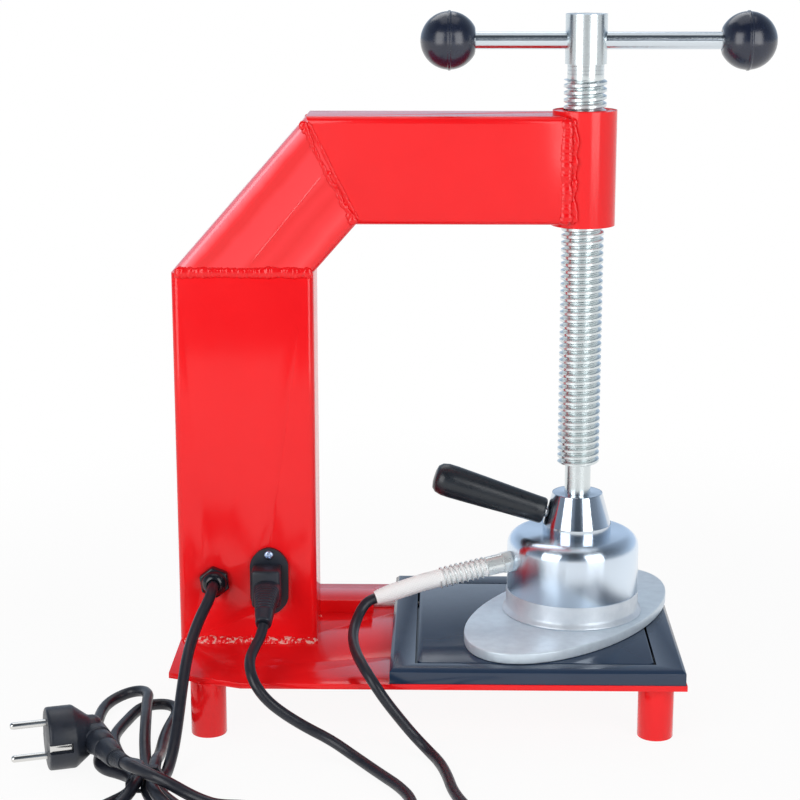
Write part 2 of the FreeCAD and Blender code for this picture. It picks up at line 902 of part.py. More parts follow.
def make_press_screw():
    """One turned piece: tip with its ring groove, journal, thread, neck and head."""
    tip = tip_bottom - journal_top
    journal = s.journal_diameter / 2
    groove = journal - s.ring_groove_depth
    groove_foot = tip + s.ring_foot
    outer = s.screw_diameter / 2
    neck = s.screw_neck_diameter / 2
    head = s.screw_head_diameter / 2
    chamfer = s.thread_depth
    head_foot = head_bottom - journal_top
    head_end = head_top - journal_top
    profile = [
        (0, tip),
        (journal, tip),
        (journal, groove_foot),
        (groove, groove_foot),
        (groove, groove_foot + s.ring_thickness + s.running_clearance),
        (journal, groove_foot + s.ring_thickness + s.running_clearance),
        (journal, 0),
        (outer - chamfer, 0),
        (outer, chamfer),
        (outer, s.thread_length),
        (neck, s.thread_length),
        (neck, head_foot),
        (head - 1, head_foot),
        (head, head_foot + 1),
        (head, head_end - 1.5),
        (head - 1.5, head_end),
        (0, head_end),
    ]
    body = turned(profile)
    flank = s.thread_pitch / 8
    groove = [
        (outer + 1, s.thread_pitch - flank * 3),
        (outer, s.thread_pitch - flank * 3),
        (outer - s.thread_depth, s.thread_pitch - flank * 2),
        (outer - s.thread_depth, s.thread_pitch + flank),
        (outer, s.thread_pitch + flank * 2),
        (outer + 1, s.thread_pitch + flank * 2),
    ]
    before = body.Shape.Volume
    profile = outline(body, "XZ_Plane", groove)
    feature = body.newObject("PartDesign::Groove", "thread_groove")
    feature.Profile = profile
    feature.ReferenceAxis = (profile, ["V_Axis"])
    feature.Angle = 360
    doc.recompute()
    if body.Shape.Volume > before - 1e-6:
        raise ValueError("the thread groove cuts nothing")
    pattern = body.newObject("PartDesign::LinearPattern", "thread")
    pattern.Originals = [feature]
    pattern.Direction = (profile, ["V_Axis"])
    bind(pattern, Length=s.thread_pitch * (thread_turns - 2))
    bind(pattern, Occurrences=thread_turns - 1)
    body.Tip = pattern
    doc.recompute()
    place(body, axis_x, 0, journal_top)
    hole = s.bar_diameter / 2 + s.bar_clearance
    cross_hole = cylinder((axis_x - s.screw_diameter, 0, bar_level), hole, 2 * s.screw_diameter, RIGHT)
    keep(cut(body, cross_hole), "press_screw")


def make_tommy_bar():
    middle = axis_x + s.bar_shift
    length = s.bar_free_length + 2 * s.bar_thread_length
    rod = cylinder((middle - length / 2, 0, bar_level), s.bar_diameter / 2, length, RIGHT)
    keep(rod, "tommy_bar")
    knobs = [knob(middle - s.bar_free_length / 2, LEFT), knob(middle + s.bar_free_length / 2, RIGHT)]
    keep(group(knobs), "bar_knobs")


def knob(face, direction):
    """A ball with a flat face, a blind hole for the bar and a ridge where its mould parts."""
    radius = s.knob_diameter / 2
    side = 1 if direction == RIGHT else -1
    centre = face + side * s.knob_flat
    ball = doc.addObject("Part::Sphere", "ball")
    bind(ball, Radius=radius)
    place(ball, centre, 0, bar_level)
    ridge_foot = centre - side * s.knob_ridge_width / 2
    ridge = cylinder((ridge_foot, 0, bar_level), radius + s.knob_ridge, s.knob_ridge_width, direction)
    beyond = cylinder((face, 0, bar_level), radius, radius, -direction)
    hole = cylinder((face, 0, bar_level), s.bar_diameter / 2, s.bar_thread_length, direction)
    return cut(fused(ball, ridge), beyond, hole)


# Heating head, centred on the screw

def make_thrust_washer():
    foot = (axis_x, 0, washer_bottom)
    keep(cylinder(foot, s.washer_diameter / 2, s.washer_thickness), "thrust_washer")


def make_retaining_ring():
    inner = s.journal_diameter / 2 - s.ring_groove_depth + s.running_clearance
    foot = tip_bottom + s.ring_foot + s.running_clearance / 2
    whole = ring((axis_x, 0, foot), inner + s.ring_width, inner, s.ring_thickness)
    gap = middle_box((axis_x + inner + s.ring_width / 2, 0, foot), (2 * s.ring_width, s.ring_width, 20))
    keep(cut(whole, gap), "retaining_ring")


chamber_top = tip_bottom + s.ring_foot + s.ring_thickness + s.ring_lift


def make_collar():
    """Bright collar: a short foot and a cone, with a chamber for the screw's tip and its ring."""
    bore = s.journal_diameter / 2 + s.running_clearance
    inner = s.journal_diameter / 2 - s.ring_groove_depth + s.running_clearance
    chamber = inner + s.ring_width + s.seat_clearance * 2
    profile = [
        (chamber, cap_top),
        (s.collar_foot_diameter / 2, cap_top),
        (s.collar_foot_diameter / 2, cone_bottom),
        (s.collar_top_diameter / 2, cone_top - 1),
        (s.collar_top_diameter / 2 - 1, cone_top),
        (bore, cone_top),
        (bore, chamber_top),
        (chamber, chamber_top),
    ]
    body = turned(profile)
    place(body, axis_x, 0, 0)
    keep(cut(body, handle_stud(s.running_clearance), *head_screw_rods(s.running_clearance)), "head_collar")


def handle_axis(distance):
    """A point of the handle's axis; it meets the screw's axis at distance 0."""
    tilt = s.handle_angle
    return (
        axis_x - distance * cosine(tilt),
        0,
        cone_bottom + s.handle_height + (distance - s.handle_start) * sine(tilt),
    )


def handle_direction():
    tilt = math.radians(s.handle_angle.number)
    return Vector(-math.cos(tilt), 0, math.sin(tilt))


def tilted_rod(start, end, radius, end_radius):
    """A tapered rod along the handle's axis, turned with the tilt in the sheet."""
    same = radius.text == end_radius.text
    if same:
        thing = doc.addObject("Part::Cylinder", "rod")
        bind(thing, Radius=radius, Height=end - start)
    else:
        thing = doc.addObject("Part::Cone", "taper")
        bind(thing, Radius1=radius, Radius2=end_radius, Height=end - start)
    place(thing, *handle_axis(start), Rotation(Vector(0, -1, 0), 90 - s.handle_angle.number))
    thing.setExpression("Placement.Rotation.Angle", (90 - s.handle_angle).text)
    return thing


def handle_stud(clearance):
    start = s.handle_start - s.handle_stud_inside
    end = s.handle_start + s.handle_stud_outside
    radius = s.handle_stud_diameter / 2 + clearance
    return tilted_rod(start, end, radius, radius)


def make_handle():
    keep(handle_stud(sized(0)), "handle_stud")
    start = s.handle_start + s.handle_recess
    end = start + s.handle_length
    grip = tilted_rod(start, end, s.handle_root_diameter / 2, s.handle_end_diameter / 2)
    keep(cut(grip, handle_stud(sized(0))), "handle_grip")


def make_cap():
    """Bright cap over the heater: a drawn shell with a rounded shoulder."""
    outer = s.cap_diameter / 2
    inner = outer - s.cap_wall
    cap = turned([(0, cap_bottom), (outer, cap_bottom), (outer, cap_top), (0, cap_top)])
    round_edges(cap, s.cap_shoulder, lambda edge: edge.CenterOfMass.z > cap_top.number - 0.01)
    place(cap, head_x, 0, 0)
    hollow = turned([(0, cap_bottom), (inner, cap_bottom), (inner, cap_top - s.cap_wall), (0, cap_top - s.cap_wall)])
    round_edges(hollow, s.cap_shoulder - s.cap_wall, lambda edge: edge.CenterOfMass.z > cap_top.number - s.cap_wall.number - 0.01)
    place(hollow, head_x, 0, 0)
    hole = gland_rod(-s.gland_tube_length, s.gland_tube_length, s.gland_tube_diameter / 2 - 1)
    keep(cut(cap, hollow, hole, *head_screw_rods(s.running_clearance)), "head_cap")


def make_heater_body():
    """Dull aluminium block under the cap, with a spigot that centres the cap."""
    outer = s.heater_body_diameter / 2
    foot = s.heater_body_foot_diameter / 2
    spigot = s.cap_diameter / 2 - s.cap_wall - s.seat_clearance
    top = cap_bottom + s.spigot_height
    body = turned([
        (0, shoe_top),
        (foot, shoe_top),
        (foot - s.flare / 2, shoe_top + s.flare),
        (outer, cap_bottom - s.flare),
        (outer, cap_bottom),
        (spigot, cap_bottom),
        (spigot, top),
        (0, top),
    ])
    place(body, head_x, 0, 0)
    keep(cut(body, *head_screw_rods(sized(0)), *shoe_screw_rods()), "heater_body")


def make_head_heater():
    foot = cap_bottom + s.spigot_height
    disc = cylinder((head_x, 0, foot), s.head_heater_diameter / 2, s.head_heater_thickness)
    keep(cut(disc, *head_screw_rods(s.running_clearance)), "head_heater")
    foot = foot + s.head_heater_thickness
    thickness = cap_top - s.cap_shoulder - foot
    disc = cylinder((head_x, 0, foot), s.head_heater_diameter / 2, thickness)
    keep(cut(disc, *head_screw_rods(s.running_clearance)), "head_insulation")


def head_screw_rods(clearance):
    """Shanks of the screws that hold collar, cap and heater body together."""
    foot = shoe_top + s.heater_body_height / 2
    height = cap_top + s.collar_foot_height * 0.8 - foot
    radius = s.head_screw_diameter / 2 + clearance
    rods = []
    for turn in (30, 150, 270):
        x = head_x + s.head_screw_circle / 2 * math.cos(math.radians(turn))
        y = s.head_screw_circle / 2 * math.sin(math.radians(turn))
        rods.append(cylinder((x, y, foot), radius, height))
    return rods


def make_head_screws():
    keep(group(head_screw_rods(sized(0))), "head_studs")


def shoe_turned(thing, x, z):
    """Puts a piece on the shoe's long axis, x from its middle, turned as the shoe is."""
    where = s.shoe_angle
    middle_x = axis_x - s.shoe_shift
    place(thing, middle_x + x * cosine(where), x * sine(where), z, Rotation(UP, where.number))
    thing.setExpression("Placement.Rotation.Angle", where.text)
    return thing


def make_shoe():
    """Oval heating shoe, with countersunk screws from its underside."""
    ellipse = doc.addObject("Part::Ellipse", "oval")
    bind(ellipse, MajorRadius=s.shoe_length / 2, MinorRadius=s.shoe_width / 2)
    blank = doc.addObject("Part::Extrusion", "oval_plate")
    blank.Base = ellipse
    blank.DirMode = "Custom"
    blank.Dir = UP
    blank.Solid = True
    bind(blank, LengthFwd=s.shoe_thickness)
    shoe_turned(blank, sized(0), shoe_bottom)
    keep(cut(blank, *shoe_screw_rods(), *shoe_screw_heads()), "heating_shoe")


def shoe_screw_rods():
    height = s.shoe_thickness + s.heater_body_height / 2
    rods = []
    for side in (-1, 1):
        rod = doc.addObject("Part::Cylinder", "rod")
        bind(rod, Radius=s.shoe_screw_diameter / 2, Height=height)
        rods.append(shoe_turned(rod, side * s.shoe_screw_spacing / 2, shoe_bottom))
    return rods


def shoe_screw_heads():
    heads = []
    for side in (-1, 1):
        head = doc.addObject("Part::Cone", "head")
        bind(head, Radius1=s.shoe_screw_diameter, Radius2=s.shoe_screw_diameter / 2)
        bind(head, Height=s.shoe_screw_diameter / 2)
        heads.append(shoe_turned(head, side * s.shoe_screw_spacing / 2, shoe_bottom))
    return heads


def make_shoe_screws():
    screws = [fused(rod, head) for rod, head in zip(shoe_screw_rods(), shoe_screw_heads())]
    keep(group(screws), "shoe_screws")


# Cable gland, spring and sleeve of the head

def gland_direction():
    turn = math.radians(180 + s.gland_angle.number)
    drop = math.radians(-s.gland_fall_angle.number)
    return Vector(math.cos(turn) * math.cos(drop), math.sin(turn) * math.cos(drop), math.sin(drop))


def gland_foot(distance):
    """A point of the gland's axis, at a distance outwards from the cap's wall."""
    turn = s.gland_angle
    drop = s.gland_fall_angle
    out = s.cap_diameter / 2 + distance * cosine(drop)
    return (
        head_x - out * cosine(turn),
        -(out * sine(turn)),
        cap_top - s.gland_height - distance * sine(drop),
    )


def gland_rod(start, length, radius):
    return cylinder(gland_foot(start), radius, length, gland_direction())


def make_head_gland():
    # the tube's root is cut to the round cap it is screwed into
    nut_start = -s.cap_wall
    nut = hexagon(gland_foot(nut_start), s.gland_nut_across, s.gland_nut_length + s.cap_wall, gland_direction())
    tube_start = nut_start + s.gland_nut_length + s.cap_wall
    tube = gland_rod(tube_start, s.gland_tube_length, s.gland_tube_diameter / 2)
    wall = cylinder((head_x, 0, cap_bottom), s.cap_diameter / 2, s.cap_height)
    keep(cut(fused(nut, tube), wall), "head_cable_gland")


sleeve_start = s.gland_nut_length + s.gland_tube_length

# the white sleeve runs straight under its spring and then droops to where the black cord comes out
SLEEVE_END = Vector(-66.8, -37.0, 82.1)
SLEEVE_LAST_BEND = Vector(-37.5, -30.6, 90.6)


def rounded_path(points):
    """Straight runs joined by tangent arcs, each as large as its two runs allow."""
    radii = []
    edges = []
    start = points[0]
    for before, corner, after in zip(points, points[1:], points[2:]):
        back = before - corner
        ahead = after - corner
        half_turn = (math.pi - back.getAngle(ahead)) / 2
        radius = 0.45 * min(back.Length, ahead.Length) / math.tan(half_turn)
        radii.append(radius)
        trim = radius * math.tan(half_turn)
        first = corner + Vector(back).normalize() * trim
        last = corner + Vector(ahead).normalize() * trim
        bisector = (Vector(back).normalize() + Vector(ahead).normalize()).normalize()
        middle = corner + bisector * (radius / math.cos(half_turn) - radius)
        edges.append(Part.LineSegment(start, first).toShape())
        edges.append(Part.Arc(first, middle, last).toShape())
        start = last
    edges.append(Part.LineSegment(start, points[-1]).toShape())
    return Part.Wire(edges), radii


def tube_along(points, diameter, name):
    """A solid round tube along a route; prints its radii and compares its volume."""
    path, radii = rounded_path(points)
    direction = points[1] - points[0]
    circle = Part.Wire(Part.Circle(points[0], direction, diameter / 2).toShape())
    solid = path.makePipeShell([circle], True, False)
    expected = math.pi * diameter ** 2 / 4 * path.Length
    share = solid.Volume / expected
    print(f"{name}: {path.Length:.0f} mm, volume {share:.4f} of section times length, radii",
          " ".join(f"{radius:.0f}" for radius in radii))
    if abs(share - 1) > 0.01 or not solid.isValid():
        raise ValueError(f"the tube of {name} is not sound")
    return solid, path


def feature(shape, label):
    thing = doc.addObject("Part::Feature", label)
    thing.Shape = shape
    return keep(thing, label)


def make_sleeve_and_spring():
    start = Vector(*[value.number for value in gland_foot(sleeve_start)])
    first_bend = start + gland_direction() * (s.spring_length.number + s.sleeve_diameter.number / 2)
    solid, _ = tube_along([start, first_bend, SLEEVE_LAST_BEND, SLEEVE_END], s.sleeve_diameter.number, "head_sleeve")
    feature(solid, "head_sleeve")
    radius = (s.sleeve_diameter.number + s.spring_wire.number) / 2 + s.running_clearance.number
    feature(coil_spring(start, gland_direction(), radius), "sleeve_spring")


def coil_spring(start, direction, radius):
    """A spring wound from half-turn biarcs: each half turn is two quarter arcs of the helix."""
    wire_radius = s.spring_wire.number / 2
    length = s.spring_length.number
    turns = int(s.spring_turns.number)
    margin = s.spring_wire.number
    steps = turns * 4
    pitch = (length - 2 * margin) / turns
    spots = []
    for i in range(steps * 2 + 1):
        angle = i * math.pi / 4
        spots.append(Vector(radius * math.cos(angle), radius * math.sin(angle), margin + pitch * i / 8))
    arcs = [Part.Arc(spots[i], spots[i + 1], spots[i + 2]).toShape() for i in range(0, len(spots) - 2, 2)]
    path = Part.Wire(arcs)
    tangent = arcs[0].tangentAt(arcs[0].FirstParameter)
    circle = Part.Wire(Part.Circle(spots[0], tangent, wire_radius).toShape())
    coil = path.makePipeShell([circle], True, False)
    print(f"sleeve_spring: {turns} turns, least gap between turns {pitch - 2 * wire_radius:.2f} mm")
    coil.Placement = Placement(start, Rotation(UP, direction))
    return coil


# Inlet socket, connector and the cord of the head

inlet_x = left + s.inlet_offset
inlet_z = base_top + s.inlet_height
flange_face = front_face - s.flange_thickness


def inlet_section(width, height, corner):
    """Outline of the socket: a rectangle with two cut corners on its left side."""
    return [
        (corner - width / 2, -height / 2),
        (width / 2, -height / 2),
        (width / 2, height / 2),
        (corner - width / 2, height / 2),
        (-width / 2, height / 2 - corner),
        (-width / 2, corner - height / 2),
    ]


def make_inlet():
    flange = slab("XZ_Plane", [
        (-s.flange_tip_width / 2, -s.flange_height / 2),
        (s.flange_tip_width / 2, -s.flange_height / 2),
        (s.flange_width / 2, -s.inlet_body_height / 2),
        (s.flange_width / 2, s.inlet_body_height / 2),
        (s.flange_tip_width / 2, s.flange_height / 2),
        (-s.flange_tip_width / 2, s.flange_height / 2),
        (-s.flange_width / 2, s.inlet_body_height / 2),
        (-s.flange_width / 2, -s.inlet_body_height / 2),
    ], s.flange_thickness)
    place(flange, inlet_x, front_face, inlet_z)
    block = middle_box(
        (inlet_x, front_face + s.inlet_body_depth / 2, inlet_z),
        (s.inlet_body_width, s.inlet_body_depth, s.inlet_body_height),
    )
    recess = slab(
        "XZ_Plane",
        inlet_section(s.inlet_recess_width, s.inlet_recess_height, s.inlet_corner),
        s.inlet_recess_depth,
    )
    place(recess, inlet_x, flange_face + s.inlet_recess_depth, inlet_z)
    keep(cut(fused(flange, block), recess, *inlet_screw_rods(sized(0)), *blades(sized(0))), "inlet_socket")


def inlet_screw_rods(clearance):
    length = s.flange_thickness + s.tube_wall + s.inlet_screw_diameter * 2
    radius = s.inlet_screw_diameter / 2 + clearance
    return [
        cylinder((inlet_x, flange_face, inlet_z + side * s.inlet_screw_spacing / 2), radius, length, BACK)
        for side in (-1, 1)
    ]


def make_inlet_screws():
    screws = []
    nuts = []
    for side, rod in zip((-1, 1), inlet_screw_rods(sized(0))):
        z = inlet_z + side * s.inlet_screw_spacing / 2
        head = cone((inlet_x, flange_face, z), s.inlet_screw_head / 2, s.inlet_screw_head / 3, s.inlet_screw_diameter / 2, FRONT)
        screws.append(fused(rod, head))
        nut = hexagon((inlet_x, front_face + s.tube_wall, z), s.inlet_screw_head, s.inlet_screw_diameter * 0.8, BACK)
        hole = cylinder((inlet_x, front_face + s.tube_wall, z), s.inlet_screw_diameter / 2, s.inlet_screw_diameter * 0.8, BACK)
        nuts.append(cut(nut, hole))
    keep(group(screws), "inlet_screws")
    keep(group(nuts), "inlet_nuts")


def blades(clearance):
    """Three flat contacts: live and neutral on one side, earth on the other."""
    start = flange_face + s.inlet_recess_depth - s.blade_length
    length = front_face + s.inlet_body_depth + s.blade_tail - start
    spots = [
        (s.blade_side_step, s.blade_spacing),
        (s.blade_side_step, -s.blade_spacing),
        (-s.blade_side_step, sized(0)),
    ]
    return [
        middle_box(
            (inlet_x + across, start + length / 2, inlet_z + up),
            (s.blade_height + 2 * clearance, length, s.blade_width + 2 * clearance),
        )
        for across, up in spots
    ]


def make_inlet_pins():
    keep(group(blades(sized(0))), "inlet_pins")


def make_connector():
    """Nose in the socket, body, taper and the bent strain relief."""
    gap = s.connector_gap
    nose_length = s.inlet_recess_depth - gap
    nose = slab(
        "XZ_Plane",
        inlet_section(s.inlet_recess_width - 2 * gap, s.inlet_recess_height - 2 * gap, s.inlet_corner - gap / 2),
        nose_length + gap,
    )
    start = flange_face - gap
    place(nose, inlet_x, start + nose_length, inlet_z)
    body = slab(
        "XZ_Plane",
        inlet_section(s.connector_width, s.connector_height, s.inlet_corner),
        s.connector_body_length,
    )
    place(body, inlet_x, start, inlet_z)
    taper = doc.addObject("Part::Wedge", "taper")
    neck = s.connector_neck_diameter
    bind(taper, Xmin=-s.connector_width / 2, Xmax=s.connector_width / 2)
    bind(taper, Zmin=-s.connector_height / 2 + s.inlet_corner / 2, Zmax=s.connector_height / 2 - s.inlet_corner / 2)
    bind(taper, Ymin=0, Ymax=s.connector_taper_length)
    bind(taper, X2min=-neck / 2, X2max=neck / 2, Z2min=-neck / 2, Z2max=neck / 2)
    place(taper, inlet_x, start - s.connector_body_length, inlet_z, Rotation(UP, 180))
    rear = start - s.connector_body_length - s.connector_taper_length
    tilt = s.connector_relief_angle
    relief = doc.addObject("Part::Cone", "relief")
    inside = neck / 2 * sine(tilt)
    bind(relief, Radius1=neck / 2, Radius2=s.head_cord_diameter / 2 + 1, Height=s.connector_relief_length + inside)
    place(relief, inlet_x, rear + inside, inlet_z, Rotation(RIGHT, 90 + tilt.number))
    relief.setExpression("Placement.Rotation.Angle", (90 + tilt).text)
    slots = blades(gap)
    whole = cut(fused(nose, body, taper, relief), *slots)
    keep(whole, "connector")
    contacts = []
    for slot, blade in zip(blades(gap - 0.05), blades(sized(0.02))):
        near = middle_box((inlet_x, start + nose_length / 2, inlet_z), (s.connector_width, 8, s.connector_height))
        contacts.append(cut(common(slot, near), blade))
    keep(group(contacts), "connector_contacts")


def connector_exit():
    """Where the head's cord leaves the strain relief, and which way it points."""
    tilt = math.radians(s.connector_relief_angle.number)
    inside = s.connector_neck_diameter / 2 * sine(s.connector_relief_angle)
    rear = flange_face - s.connector_gap - s.connector_body_length - s.connector_taper_length
    foot = Vector(inlet_x.number, (rear + inside).number, inlet_z.number)
    direction = Vector(0, -math.cos(tilt), -math.sin(tilt))
    return foot + direction * (s.connector_relief_length + inside).number, direction


# Points of the head's cord between its strain relief and its sleeve, chosen along the photographed line:
# down over the base plate's edge, along the floor, round a loop and back up over the edge.
HEAD_CORD = [
    (-149.4, -100.0, 63.0),
    (-147.6, -121.5, 51.0),
    (-137.6, -134.0, 37.5),
    (-115.2, -142.0, 24.0),
    (-92.2, -150.0, 12.0),
    (-74.2, -162.0, 3.8),
    (-60.2, -184.0, 3.8),
    (-50.2, -212.0, 3.8),
    (-47.0, -242.0, 3.8),
    (-38.0, -268.0, 3.8),
    (-17.0, -281.0, 3.8),
    (4.0, -271.0, 3.8),
    (11.0, -246.0, 3.8),
    (3.0, -218.0, 3.8),
    (-8.0, -192.0, 3.8),
    (-13.0, -163.0, 3.8),
    (-23.2, -143.0, 11.0),
    (-38.2, -135.0, 23.0),
    (-53.2, -132.0, 35.5),
    (-65.2, -124.0, 49.5),
    (-72.7, -108.0, 56.0),
    (-78.2, -86.0, 55.0),
    (-81.2, -66.0, 51.5),
    (-84.0, -50.0, 53.0),
    (-84.5, -43.0, 63.5),
    (-79.5, -39.5, 74.0),
]

MAINS_CORD = [
    (-184.7, -52.0, 86.0),
    (-190.2, -64.0, 76.5),
    (-194.2, -79.0, 66.5),
    (-196.7, -98.0, 57.0),
    (-198.2, -116.0, 44.5),
    (-199.2, -135.0, 29.0),
    (-200.2, -153.0, 14.5),
    (-201.8, -170.0, 5.6),
]


def make_head_cord():
    exit_point, direction = connector_exit()
    first = exit_point + direction * s.head_cord_diameter.number
    last = SLEEVE_END - Vector(SLEEVE_LAST_BEND - SLEEVE_END).normalize() * s.head_cord_diameter.number
    points = [exit_point, first, *[Vector(*point) for point in HEAD_CORD], last, SLEEVE_END]
    solid, _ = tube_along(points, s.head_cord_diameter.number, "head_cord")
    feature(solid, "head_cord")


# Mains gland, cord, hank and plug

gland_x = left + s.gland_offset
gland_z = base_top + s.mains_gland_height


def make_mains_gland():
    radius = s.mains_gland_diameter / 2
    dome = cone((gland_x, front_face, gland_z), radius, radius * 0.62, s.mains_gland_length, FRONT)
    collar = hexagon((gland_x, front_face, gland_z), s.mains_gland_diameter, s.mains_gland_length / 2, FRONT)
    stem_length = s.tube_wall + s.mains_nut_thickness * 1.4
    stem = cylinder((gland_x, front_face, gland_z), s.mains_thread_diameter / 2, stem_length, BACK)
    bore = cylinder(
        (gland_x, front_face - s.mains_gland_length, gland_z),
        s.mains_cord_diameter / 2,
        s.mains_gland_length + stem_length,
        BACK,
    )
    keep(cut(fused(dome, collar, stem), bore), "mains_gland")
    inside = (gland_x, front_face + s.tube_wall, gland_z)
    nut = hexagon(inside, s.mains_nut_across, s.mains_nut_thickness, BACK)
    hole = cylinder(inside, s.mains_thread_diameter / 2, s.mains_nut_thickness, BACK)
    keep(cut(nut, hole), "mains_gland_nut")


def make_mains_cord():
    inner_end = Vector(gland_x.number, (front_face + s.tube_wall).number, gland_z.number)
    face = Vector(gland_x.number, (front_face - s.mains_gland_length).number, gland_z.number)
    out = face + FRONT * 6
    points = [inner_end, out, *[Vector(*point) for point in MAINS_CORD], HANK_START]
    solid, _ = tube_along(points, s.mains_cord_diameter.number, "mains_cord")
    feature(solid, "mains_cord")


# Slots of the five strands where the tie holds them: three below, two on top.
TIE_Y = -190.0
LOW = 5.3
HIGH = 12.9
SLOT_FAR_LEFT = (-220.7, LOW)
SLOT_LEFT = (-212.0, LOW)
SLOT_RIGHT = (-203.3, LOW)
SLOT_TOP_LEFT = (-216.4, HIGH)
SLOT_TOP_RIGHT = (-207.6, HIGH)
FLOOR = 4.0
OVER = 13.2
HANK_START = Vector(-202.7, -179.0, 5.42)


def through_tie(slot, step):
    """The two points of a strand at the tie, walked in the direction of step along Y."""
    return [(slot[0], TIE_Y - step * 5, slot[1]), (slot[0], TIE_Y + step * 5, slot[1])]


def fold(centre, radius, first, last, count, levels):
    """A fold's points: corners of the polygon round its circle, with the height changing evenly."""
    turn = (last - first) / count
    far = radius / math.cos(math.radians(turn) / 2)
    points = []
    for i in range(count):
        angle = math.radians(first + turn * (i + 0.5))
        level = levels[0] + (levels[1] - levels[0]) * i / (count - 1)
        points.append((centre[0] + far * math.cos(angle), centre[1] + far * math.sin(angle), level))
    return points


def hank_points():
    """The whole hank as one strand, loop after loop, from the gland's side to the plug."""
    near_outer = [
        (-200.0, -204.0, FLOOR),
        (-191.0, -217.0, FLOOR),
        (-180.0, -232.0, FLOOR),
        *fold((-211.7, -252.0), 34.0, 20, -200, 6, (FLOOR, FLOOR)),
        (-243.5, -232.0, FLOOR),
        (-232.0, -217.0, FLOOR),
        (-223.0, -204.0, FLOOR),
    ]
    far_outer = [
        (-226.0, -180.5, FLOOR),
        (-234.0, -177.0, FLOOR),
        (-242.0, -172.5, FLOOR),
        (-248.5, -166.5, FLOOR),
        (-251.0, -158.0, FLOOR),
        (-249.8, -149.0, FLOOR),
        (-249.4, -139.0, FLOOR),
        (-254.0, -127.5, FLOOR),
        (-258.8, -111.0, FLOOR),
        (-261.2, -92.0, FLOOR),
        (-261.5, -74.0, FLOOR),
        (-259.4, -60.0, FLOOR),
        *fold((-246.0, -50.0), 11.5, 170, 15, 4, (4.6, 12.6)),
        (-231.7, -61.0, OVER),
        (-228.5, -76.0, OVER),
        (-225.5, -100.0, OVER),
        (-223.2, -122.0, 9.5),
        (-220.8, -138.0, 6.0),
        (-218.0, -154.0, FLOOR),
        (-214.3, -172.0, FLOOR),
    ]
    near_inner = [
        (-209.5, -204.0, FLOOR),
        (-202.5, -218.0, FLOOR),
        (-195.5, -233.0, FLOOR),
        *fold((-213.0, -245.0), 18.0, 12, -192, 5, (FLOOR, FLOOR)),
        (-230.0, -232.0, FLOOR),
        (-222.0, -218.0, 8.0),
        (-217.2, -205.0, 12.4),
    ]
    far_inner = [
        (-219.5, -174.0, 12.0),
        (-228.5, -158.5, 6.2),
        (-236.0, -145.5, FLOOR),
        (-241.2, -132.0, FLOOR),
        (-245.6, -118.0, FLOOR),
        (-246.6, -105.0, FLOOR),
        (-243.5, -90.5, FLOOR),
        (-238.0, -76.5, FLOOR),
        *fold((-223.4, -65.4), 9.0, 155, 5, 4, (FLOOR, FLOOR)),
        (-213.6, -87.0, FLOOR),
        (-212.4, -108.0, FLOOR),
        (-210.8, -132.0, FLOOR),
        (-209.9, -149.0, 6.8),
        (-209.5, -164.0, 11.4),
        (-208.3, -177.0, 12.9),
    ]
    tail = [
        (-206.6, -204.0, 13.4),
        (-203.0, -220.0, 13.6),
        (-194.0, -238.0, 13.6),
        (-181.0, -256.0, 13.6),
        (-164.0, -270.0, 9.5),
        *fold((-144.0, -258.0), 20.0, -120, 100, 5, (4.5, 12.0)),
        (-160.0, -236.5, 12.0),
        (-170.0, -231.0, 12.5),
        (-180.0, -226.5, 15.0),
        (-192.0, -224.0, 21.0),
        (-200.0, -221.0, 23.6),
        (-207.0, -216.5, 24.4),
        (-214.5, -209.5, 24.6),
    ]
    return [
        *through_tie(SLOT_RIGHT, -1),
        *near_outer,
        *through_tie(SLOT_FAR_LEFT, 1),
        *far_outer,
        *through_tie(SLOT_LEFT, -1),
        *near_inner,
        *through_tie(SLOT_TOP_LEFT, 1),
        *far_inner,
        *through_tie(SLOT_TOP_RIGHT, -1),
        *tail,
    ]


def least_gap(path, diameter):
    """Least gap of a tube to itself, measured between points that lie apart along it."""
    step = 2.0
    spots = path.discretize(Distance=step)
    apart = int(4 * diameter / step)
    least = 1e9
    for i, spot in enumerate(spots):
        for other in spots[i + apart:]:
            least = min(least, spot.distanceToPoint(other))
    return least - diameter


def make_hank():
    end, direction = plug_rear()
    last = end + direction * s.mains_cord_diameter.number
    points = [HANK_START, *[Vector(*point) for point in hank_points()], last, end]
    solid, path = tube_along(points, s.mains_cord_diameter.number, "mains_hank")
    print(f"mains_hank: least gap to itself {least_gap(path, s.mains_cord_diameter.number):.2f} mm")
    feature(solid, "mains_hank")


def make_hank_tie():
    """A narrow band round the five strands."""
    width = 5
    thickness = 1.0
    radius = s.mains_cord_diameter.number / 2 + 0.25
    left_x = SLOT_FAR_LEFT[0] - radius
    right_x = SLOT_RIGHT[0] + radius
    low = LOW - radius
    high = HIGH + radius
    top_left = SLOT_TOP_LEFT[0] - radius * 0.6
    top_right = SLOT_TOP_RIGHT[0] + radius * 0.6
    inner = [
        Vector(left_x, TIE_Y, low),
        Vector(right_x, TIE_Y, low),
        Vector(right_x, TIE_Y, LOW + 1.5),
        Vector(top_right, TIE_Y, high),
        Vector(top_left, TIE_Y, high),
        Vector(left_x, TIE_Y, LOW + 1.5),
    ]
    loop = Part.makePolygon([*inner, inner[0]])
    hole = Part.Face(loop)
    band = loop.makeOffset2D(thickness)
    outer = Part.Face(band)
    solid = outer.cut(hole).extrude(Vector(0, width, 0))
    solid.translate(Vector(0, -width / 2, 0))
    feature(solid, "hank_tie")


PLUG_FACE = Vector(-284.4, -154.0, s.plug_face_diameter.number / 2)


def plug_rotation():
    return Rotation(UP, s.plug_angle.number) * Rotation(UP, RIGHT)


